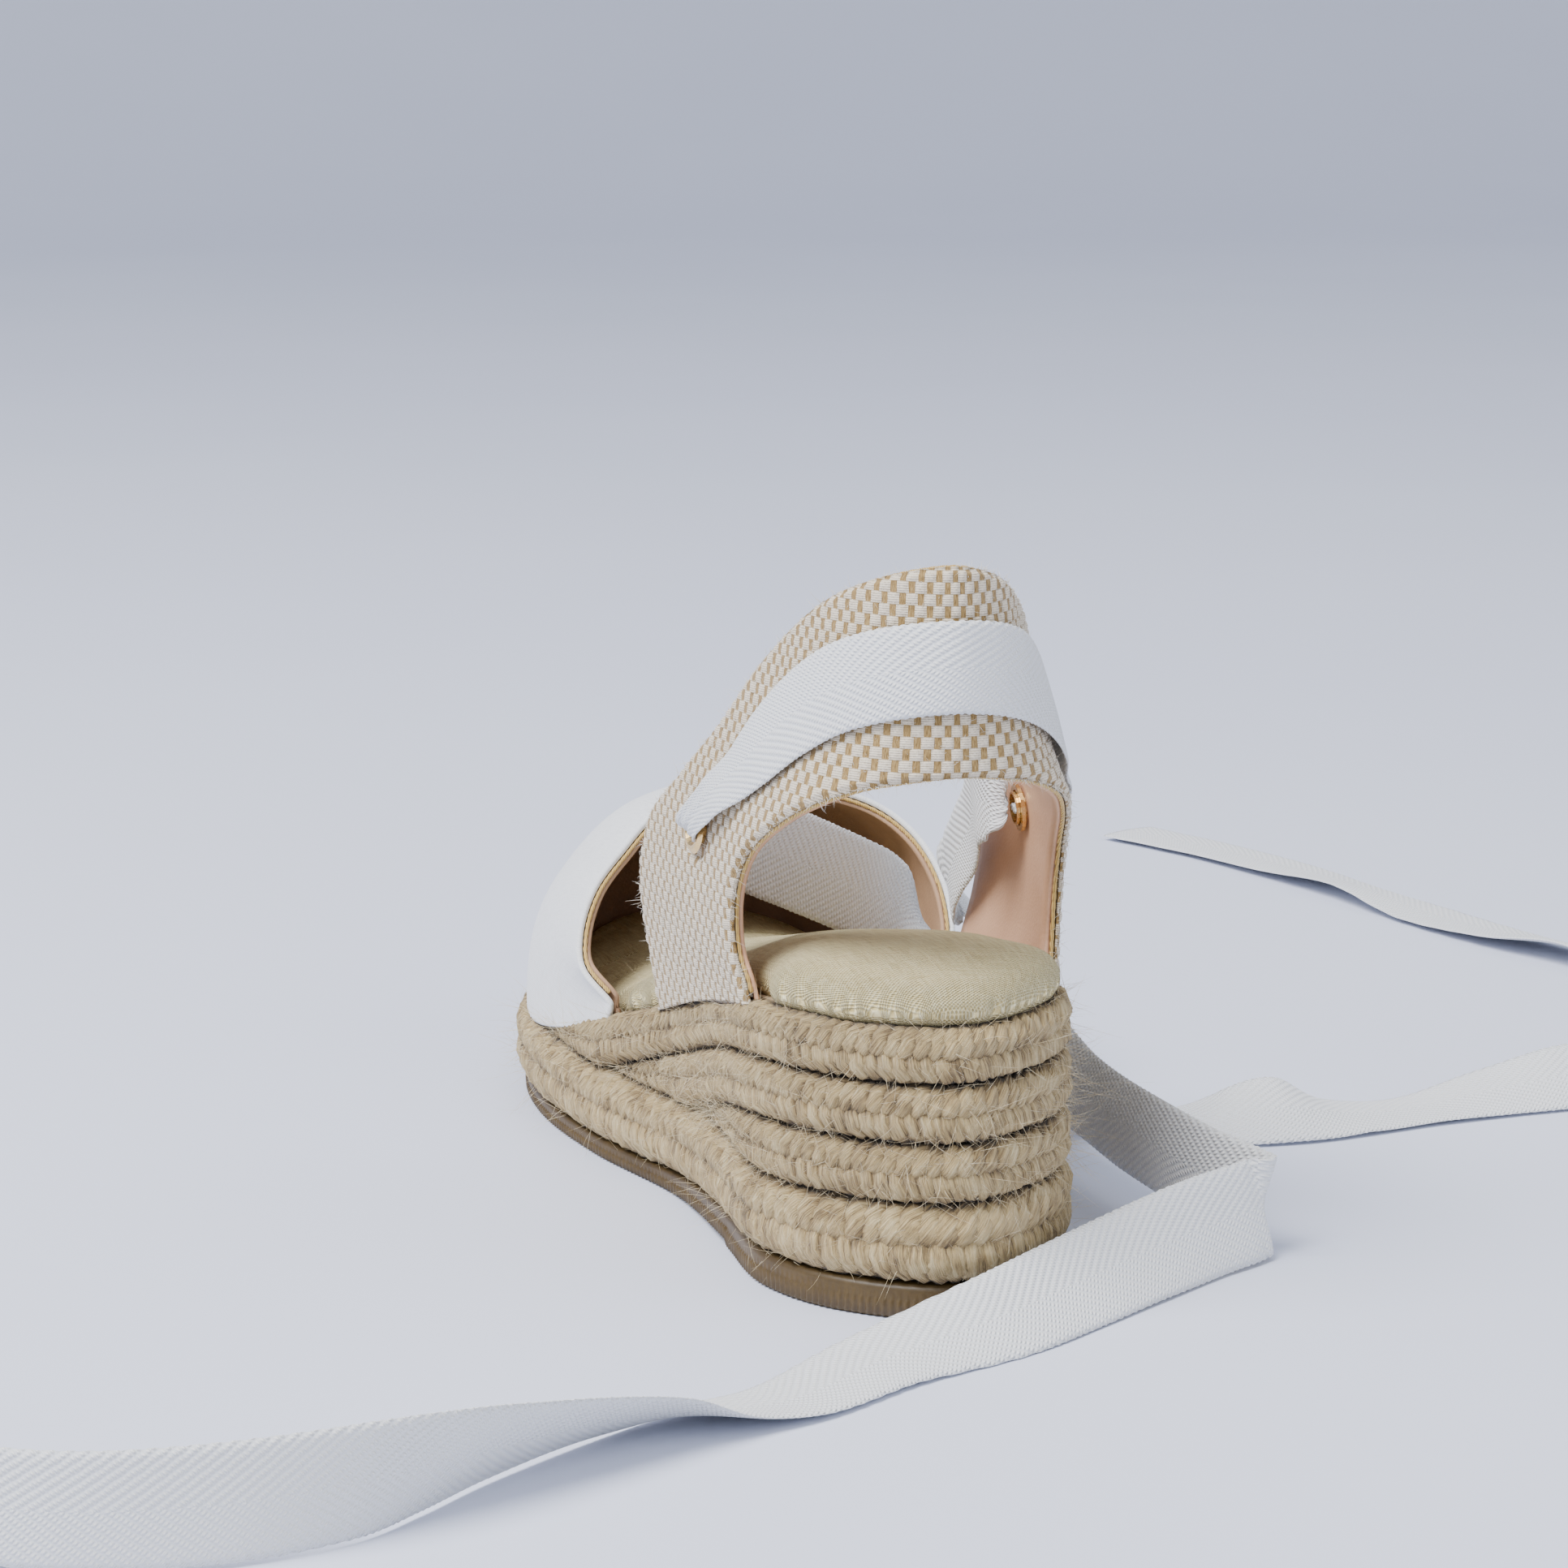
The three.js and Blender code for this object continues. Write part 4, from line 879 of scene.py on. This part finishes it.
for place in (OUTER_EYELET, INNER_EYELET):  # the cloth is pressed down under the eyelets' rims
    hole = strap_surface(np.array([place]), [0.5])[0, 0]
    away = np.linalg.norm(cloth - hole, axis=-1)
    lift -= (lift + 0.75) * (1 - smoothstep(away, 5.2, 7.2))
fold = np.minimum(vs, 1 - vs) * 42
lift = lift - 0.75 * (1 - smoothstep(fold, 0, 0.9))[None, :]
strap = shell("strap_weave", cloth, cloth_out, 0, 1.15, WEAVE, strap_uv, lift)
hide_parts("strap_fabric")
print("strap:", len(strap.data.polygons), "faces")


# %% [markdown]
# The cut edges of the strap fray a little, so short cotton and jute ends stand along them.

# %% Frayed edges
COTTON_FIBRE = hair_material("cotton_fibre", [(0.75, 0.66, 0.5), (0.88, 0.86, 0.8)])
pick = RNG.integers(5, 595, 900)
row = RNG.choice([0, 125], 900)
edge_roots = cloth[pick, row] - cloth_out[pick, row] * RNG.uniform(0.1, 0.9, (900, 1))
inner = cloth[pick, np.where(row == 0, 4, 121)]
edge_outs = unit(cloth[pick, row] - inner)
fray = fibres("strap_fray", edge_roots, edge_outs, COTTON_FIBRE, (0.8, 3.2), 0.05, 0.6, 5)
pick = RNG.integers(5, 595, 1500), RNG.integers(2, 123, 1500)
fluff_roots = cloth[pick] + cloth_out[pick] * 0.3
fluff = fibres("strap_fluff", fluff_roots, cloth_out[pick], COTTON_FIBRE, (0.8, 2.6), 0.035, 0.95, 6)


# %% Canvas, lining leather and thread
def canvas_material(name, colour, pitch=0.55, strength=0.5):
    r = Recipe(name)
    u, v, _ = r.split(r.place(kind="UV"))
    warp = r.math("SINE", r.times(u, 2 * math.pi / pitch))
    weft = r.math("SINE", r.times(v, 2 * math.pi / pitch))
    plain = r.times(warp, weft)
    slub = r.noise(r.stretched(u, v, 0.15, 2.2), 1.0, 3)
    slub_two = r.noise(r.stretched(u, v, 2.2, 0.15), 1.0, 3)
    relief = r.plus(r.times(plain, 0.5), r.plus(slub, slub_two))
    dark = tuple(c * 0.82 for c in colour)
    slubs = r.times(r.plus(slub, slub_two), 0.5)
    tone = r.plus(r.times(plain, 0.14), slubs)
    shade = r.ramp(tone, [(0.3, dark), (0.6, colour)])
    normal = r.bump(relief, strength, 0.00014)
    return r.finish(shade, 0.85, normal, Sheen_Weight=0.2)


def leather_material(name, dark, light, rough=0.5, scale=1500):
    r = Recipe(name)
    grain = r.add("TexVoronoi", {"Vector": r.place(1.0), "Scale": scale}, feature="F1")
    cloud = r.noise(r.place(1.0), 70, 3)
    fine = r.noise(r.place(1.0), scale * 1.6, 3)
    tone = r.plus(r.times(cloud, 0.7), r.times(fine, 0.3))
    colour = r.ramp(tone, [(0.3, dark), (0.7, light)])
    normal = r.bump(r.plus(grain, fine), 0.35, 0.00012)
    return r.finish(colour, rough, normal)


def thread_material():
    r = Recipe("gold_thread")
    x = r.add("TexWave", {"Vector": r.place(1.0), "Scale": 900, "Distortion": 1.0}, output=1)
    colour = r.ramp(x, [(0.2, (0.38, 0.22, 0.05)), (0.7, (0.72, 0.48, 0.14))])
    return r.finish(colour, 0.6, r.bump(x, 0.6, 0.0002), Sheen_Weight=0.2)


CANVAS = canvas_material("white_canvas", (0.86, 0.87, 0.89), 0.5, 0.35)
STRAP_LEATHER = leather_material("pink_tan_leather", (0.52, 0.29, 0.17), (0.64, 0.38, 0.24))
CAP_LEATHER = leather_material("brushed_tan_leather", (0.34, 0.2, 0.12), (0.46, 0.29, 0.18), 0.75)
THREAD = thread_material()

us, vs = np.linspace(0, 1, 200), np.linspace(0, 1, 48)
strap_grid = strap_surface(us, vs)
strap_outs = outward(strap_grid, MID_STRAP)
LINING_NEAR, LINING_FAR = 2.15, 3.0  # depths of the lining's faces under the fabric, in mm
strap_flat = cloth_uv(strap_grid)
lining = shell(
    "strap_lining_leather", strap_grid, strap_outs, LINING_NEAR, LINING_FAR, STRAP_LEATHER, strap_flat,
)
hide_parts("strap_lining")

us, vs = np.linspace(0, 1, 320), np.linspace(0, 1, 90)
cap = cap_surface(us, vs)
cap_out = outward(cap, MID_CAP)
cap_canvas = shell("toe_cap_cloth", cap, cap_out, 0, 1.15, CANVAS, cloth_uv(cap))
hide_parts("toe_cap_canvas")
coarse, coarse_out = cap[::2, ::2], cap_out[::2, ::2]
cap_lining = shell(
    "toe_cap_lining_leather", coarse, coarse_out, LINING_NEAR, LINING_FAR, CAP_LEATHER, cloth_uv(coarse),
)
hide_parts("toe_cap_lining")
print("strap lining, toe cap and its lining made")

# %% Edge threads
def edge_thread(name, node, surface, middle, v, low, high):
    """A gold thread laid along an edge between fabric and lining, bound over at every stitch."""
    us = np.linspace(low, high, 700)
    grid = surface(us, [v, 0.02 if v == 0 else 0.98])
    wide = surface(us, [0.0, 0.02] if v == 0 else [0.98, 1.0])
    out = outward(wide, middle)[:, 0 if v == 0 else 1]
    away = unit(grid[:, 0] - grid[:, 1])
    line = grid[:, 0] + away * 0.12 - out * 1.75
    ways = unit(np.gradient(line, axis=0))
    gone = np.concatenate([[0], np.cumsum(np.linalg.norm(np.diff(line, axis=0), axis=1))])
    size = 0.34 + 0.1 * np.abs(np.sin(gone * math.pi / 1.9))
    ring, _ = strand(line, ways, out, size, size, 8)
    faces = grid_faces(len(us), 8, closed_columns=True)
    faces += [tuple(reversed(range(8))), tuple((len(us) - 1) * 8 + j for j in range(8))]
    piece = turned_out(mesh_object(name, to_part(ring.reshape(-1, 3)), faces, THREAD))
    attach(piece, "root")
    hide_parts(node)


edge_thread("strap_edge_lower", "strap_thread_lower", strap_surface, MID_STRAP, 0, 0.012, 0.988)
edge_thread("strap_edge_upper", "strap_thread_upper", strap_surface, MID_STRAP, 1, 0.012, 0.988)
edge_thread("toe_cap_edge", "toe_cap_thread", cap_surface, MID_CAP, 0, 0.02, 0.98)
print("edge threads made")

# %% [markdown]
# ## Tape behind the heel strap
# The tape comes out of one eyelet, opens out round the back of the strap and goes in at the other
# eyelet. It stands off the strap a little on the inner side.

# %% Heel tape
def strap_at(u, depth=0.0):
    step = 1e-3
    centre = strap_surface(np.array([u]), [0.5])[0, 0]
    ahead, behind = (strap_surface(np.array([u + way]), [0.5])[0, 0] for way in (step, -step))
    du = ahead - behind
    ends = strap_surface(np.array([u]), [0.499, 0.501])[0]
    out = unit(np.cross(du, ends[1] - ends[0]))
    out *= np.sign(out.dot(centre - MID_STRAP))
    return centre + out * depth, unit(strap_high(u) - strap_low(u))


STACK = 3.0  # thickness of the strap's layers
OPEN_WIDTH = 16.4  # of the tape at the back of the strap
RAISED = 1.1  # its middle lies this much above the line between the eyelets
rows = []
for depth, width in ((-STACK - 2, GATHERED), (0, 4.4), (1.9, 7)):
    rows.append((*strap_at(OUTER_EYELET, depth)[0], *strap_at(OUTER_EYELET)[1], width))
for i in range(15):
    t = (i + 1) / 16
    u = lerp(OUTER_EYELET, INNER_EYELET, t)
    near = min(t, 1 - t) * 16
    off = 1.1 + (1.3 if near < 1.5 else 0.5) + 0.9 * smoothstep(t, 0.62, 0.84)
    width = lerp(10, OPEN_WIDTH, np.clip((near - 1) / 2.2, 0, 1))
    place = strap_at(u, off)[0] + strap_at(u)[1] * RAISED * math.sin(math.pi * t)
    rows.append((*place, *strap_at(u)[1], width))
for depth, width in ((1.7, 7), (0, 4.4), (-STACK - 2, GATHERED)):
    rows.append((*strap_at(INNER_EYELET, depth)[0], *strap_at(INNER_EYELET)[1], width))
rows = np.array(rows)
rows[:, :3] += SHIFT
heel_tape, _ = tape("lace_heel_tape", rows, TAPE, 340, 24)
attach(heel_tape, "root")
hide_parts("lace_tape_heel")
print("heel tape:", heel_tape["length_mm"], "mm")

# %% [markdown]
# ## Footbed
# The footbed is a soft pad with a linen cover drawn over it and turned in at the rim. The foam's
# shape is rounded and swollen a little, and a short cloth simulation puts it under pressure.

# %% Footbed
def linen_material():
    r = Recipe("footbed_linen")
    x, y, _ = r.split(r.place(1000.0, "UV"))
    bend = r.noise(r.place(1.0), 45, 2)
    x = r.plus(x, r.times(bend, 2.5))
    y = r.plus(y, r.times(bend, 2.0))
    warp = r.math("SINE", r.times(x, 2 * math.pi / 0.95))
    weft = r.math("SINE", r.times(y, 2 * math.pi / 0.8))
    weave = r.times(warp, weft)
    slub = r.noise(r.stretched(x, y, 1.4, 0.12), 1.0, 3)
    slub_two = r.noise(r.stretched(x, y, 0.12, 1.4), 1.0, 3)
    both = r.plus(slub, slub_two)
    tone = r.plus(r.times(weave, 0.22), r.times(both, 0.5))
    colour = r.ramp(tone, [(0.3, (0.56, 0.43, 0.17)), (0.5, (0.92, 0.77, 0.37)), (0.7, (1.0, 0.9, 0.56))])
    relief = r.plus(r.times(weave, 0.6), both)
    return r.finish(colour, 0.88, r.bump(relief, 1.0, 0.0007), Sheen_Weight=0.1)


LINEN = linen_material()


def applied(piece):
    """Turns a piece's modifiers into its mesh."""
    graph = bpy.context.evaluated_depsgraph_get()
    mesh = bpy.data.meshes.new_from_object(piece.evaluated_get(graph))
    piece.modifiers.clear()
    piece.data = mesh
    return piece


def lay_linen(mesh):
    """Lays the weave flat on the pad's top and straight down over its rounded rim."""
    count = len(mesh.vertices)
    points, normals = np.empty(count * 3), np.empty(count * 3)
    mesh.vertices.foreach_get("co", points)
    mesh.vertex_normals.foreach_get("vector", normals)
    points, normals = points.reshape(-1, 3), normals.reshape(-1, 3)
    low, high = points[:, 1].min(), points[:, 1].max()
    places = np.arange(low, high, 0.005)
    bands = ((points[:, 1] >= y) & (points[:, 1] < y + 0.005) for y in places)
    tops = np.array([points[band, 2].max(initial=0) for band in bands])
    tops[:5] = tops[5]
    tops[-6:] = tops[-7]
    drop = np.clip(np.interp(points[:, 1], places + 0.0025, tops) - points[:, 2], 0, 0.012)
    laid = points[:, :2] + normals[:, :2] * drop[:, None]
    corners = np.empty(len(mesh.loops), int)
    mesh.loops.foreach_get("vertex_index", corners)
    layer = mesh.uv_layers.new(name="UVMap")
    layer.data.foreach_set("uv", laid[corners].ravel())


def footbed():
    piece = bpy.data.objects.new("footbed_pad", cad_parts["footbed_foam"].data.copy())
    bpy.context.scene.collection.objects.link(piece)
    piece.data.materials.clear()
    remesh = piece.modifiers.new("remesh", "REMESH")
    remesh.mode = "VOXEL"
    remesh.voxel_size = 0.0021
    applied(piece)
    smooth = piece.modifiers.new("smooth", "SMOOTH")
    smooth.factor, smooth.iterations = 0.5, 6
    swell = piece.modifiers.new("swell", "DISPLACE")
    swell.strength, swell.mid_level = 0.0018, 0
    applied(piece)
    group = piece.vertex_groups.new(name="held")
    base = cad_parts["insole_board"].data
    sides = [tuple(p.vertices) for p in base.polygons]
    tree = BVHTree.FromPolygons([v.co for v in base.vertices], sides)
    for v in piece.data.vertices:
        hit = tree.ray_cast(v.co + Vector((0, 0, 0.001)), Vector((0, 0, -1)), 0.05)
        height = hit[3] if hit[3] is not None else 0.05
        group.add([v.index], float(np.clip(1.25 - height / 0.006, 0, 1)), "REPLACE")
    cloth_mod = piece.modifiers.new("cloth", "CLOTH")
    settings = cloth_mod.settings
    settings.quality = 6
    settings.mass = 0.2
    settings.tension_stiffness = settings.compression_stiffness = 40
    settings.bending_stiffness = 3
    settings.vertex_group_mass = "held"
    settings.use_pressure = True
    settings.uniform_pressure_force = 100
    settings.effector_weights.gravity = 0
    cloth_mod.collision_settings.use_collision = False
    cloth_mod.point_cache.frame_start, cloth_mod.point_cache.frame_end = 1, 14
    for step in range(1, 15):
        bpy.context.scene.frame_set(step)
    applied(piece)
    bpy.context.scene.frame_set(1)
    ease = piece.modifiers.new("ease", "SMOOTH")
    ease.factor, ease.iterations = 0.5, 3
    divide = piece.modifiers.new("divide", "SUBSURF")
    divide.levels = divide.render_levels = 1
    applied(piece)
    piece.data.polygons.foreach_set("use_smooth", [True] * len(piece.data.polygons))
    lay_linen(piece.data)
    piece.data.materials.append(LINEN)
    turned_out(piece)
    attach(piece, "root")
    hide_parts("footbed_cover", "footbed_foam")
    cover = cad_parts["footbed_cover"].data
    tops = [max(v.co.z for v in m.vertices) * 1000 for m in (piece.data, cover)]
    print("footbed:", len(piece.data.polygons), "faces, top %.1f mm against %.1f" % tuple(tops))


footbed()

# %% [markdown]
# ## Eyelets and the layers inside
# The eyelets are rolled from pale gold brass. Board, cork and stiffener are seen only at an edge,
# but each has its own finish.

# %% Finishes of the measured parts that stay
def metal_material():
    r = Recipe("pale_gold")
    scratch = r.noise(r.place((1.0, 1.0, 6.0)), 1500, 3)
    colour = r.ramp(scratch, [(0.3, (0.72, 0.48, 0.2)), (0.7, (0.86, 0.62, 0.3))])
    rough = r.plus(r.times(scratch, 0.2), 0.16)
    return r.finish(colour, rough, r.bump(scratch, 0.15, 0.00005), Metallic=1.0)


def grain_material(name, dark, light, scale, rough=0.9):
    r = Recipe(name)
    grain = r.noise(r.place(1.0), scale, 5, 0.65)
    return r.finish(r.ramp(grain, [(0.35, dark), (0.65, light)]), rough, r.bump(grain, 0.5, 0.0003))


METAL = metal_material()
CORK = grain_material("pressed_cork", (0.24, 0.14, 0.07), (0.5, 0.35, 0.2), 420)
BOARD = grain_material("fibre_board", (0.25, 0.18, 0.1), (0.38, 0.29, 0.18), 900)
BACKING = canvas_material("stiffening_cloth", (0.62, 0.6, 0.54), 0.6)
STAYING = {
    "wedge_core": CORK, "insole_board": BOARD, "strap_stiffener": BACKING, "toe_puff": BACKING,
    "eyelet_outer": METAL, "eyelet_washer_outer": METAL,
    "eyelet_inner": METAL, "eyelet_washer_inner": METAL,
}
for name, material in STAYING.items():
    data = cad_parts[name].data
    data.materials.clear()
    data.materials.append(material)
    data.polygons.foreach_set("use_smooth", [name.startswith("eyelet")] * len(data.polygons))
print("finishes set")

# %% [markdown]
# ## Floor and light
# A pale paper floor that curves up behind the shoe, under one broad soft light from above and to the
# left, with a weak fill.

# %% Floor and lights
def floor_material():
    r = Recipe("floor_sheet")
    cloud = r.noise(r.place(1.0), 3, 2)
    colour = r.ramp(cloud, [(0.3, (0.68, 0.71, 0.84)), (0.7, (0.7, 0.73, 0.86))])
    return r.finish(colour, 0.6)


profile = [(-5.0, -0.0002), (3.0, -0.0002)]
bends = np.linspace(0.1, math.pi / 2, 16)
profile += [(3 + 1.6 * math.sin(a), 1.6 - 1.6 * math.cos(a)) for a in bends] + [(4.6, 5.0)]
sheet = [(x, y, z) for y, z in profile for x in (-7, 7)]
panels = [(2 * i, 2 * i + 1, 2 * i + 3, 2 * i + 2) for i in range(len(profile) - 1)]
floor = mesh_object("floor", sheet, panels, floor_material())


def area_light(name, place, target, size, power, colour=(1, 1, 1)):
    light = bpy.data.lights.new(name, "AREA")
    light.shape, light.size, light.energy, light.color = "DISK", size, power, colour
    lamp = bpy.data.objects.new(name, light)
    bpy.context.scene.collection.objects.link(lamp)
    lamp.location = place
    lamp.rotation_euler = (Vector(target) - Vector(place)).to_track_quat("-Z", "Y").to_euler()


area_light("key", (-1.1, -0.5, 1.9), (0, 0, 0.03), 1.4, 92)
area_light("fill", (1.6, -1.2, 1.3), (0, 0, 0.05), 1.6, 12, (0.93, 0.96, 1))
world = bpy.data.worlds.new("studio")
world.use_nodes = True
world.node_tree.nodes["Background"].inputs["Color"].default_value = (0.72, 0.76, 0.84, 1)
world.node_tree.nodes["Background"].inputs["Strength"].default_value = 0.95
bpy.context.scene.world = world
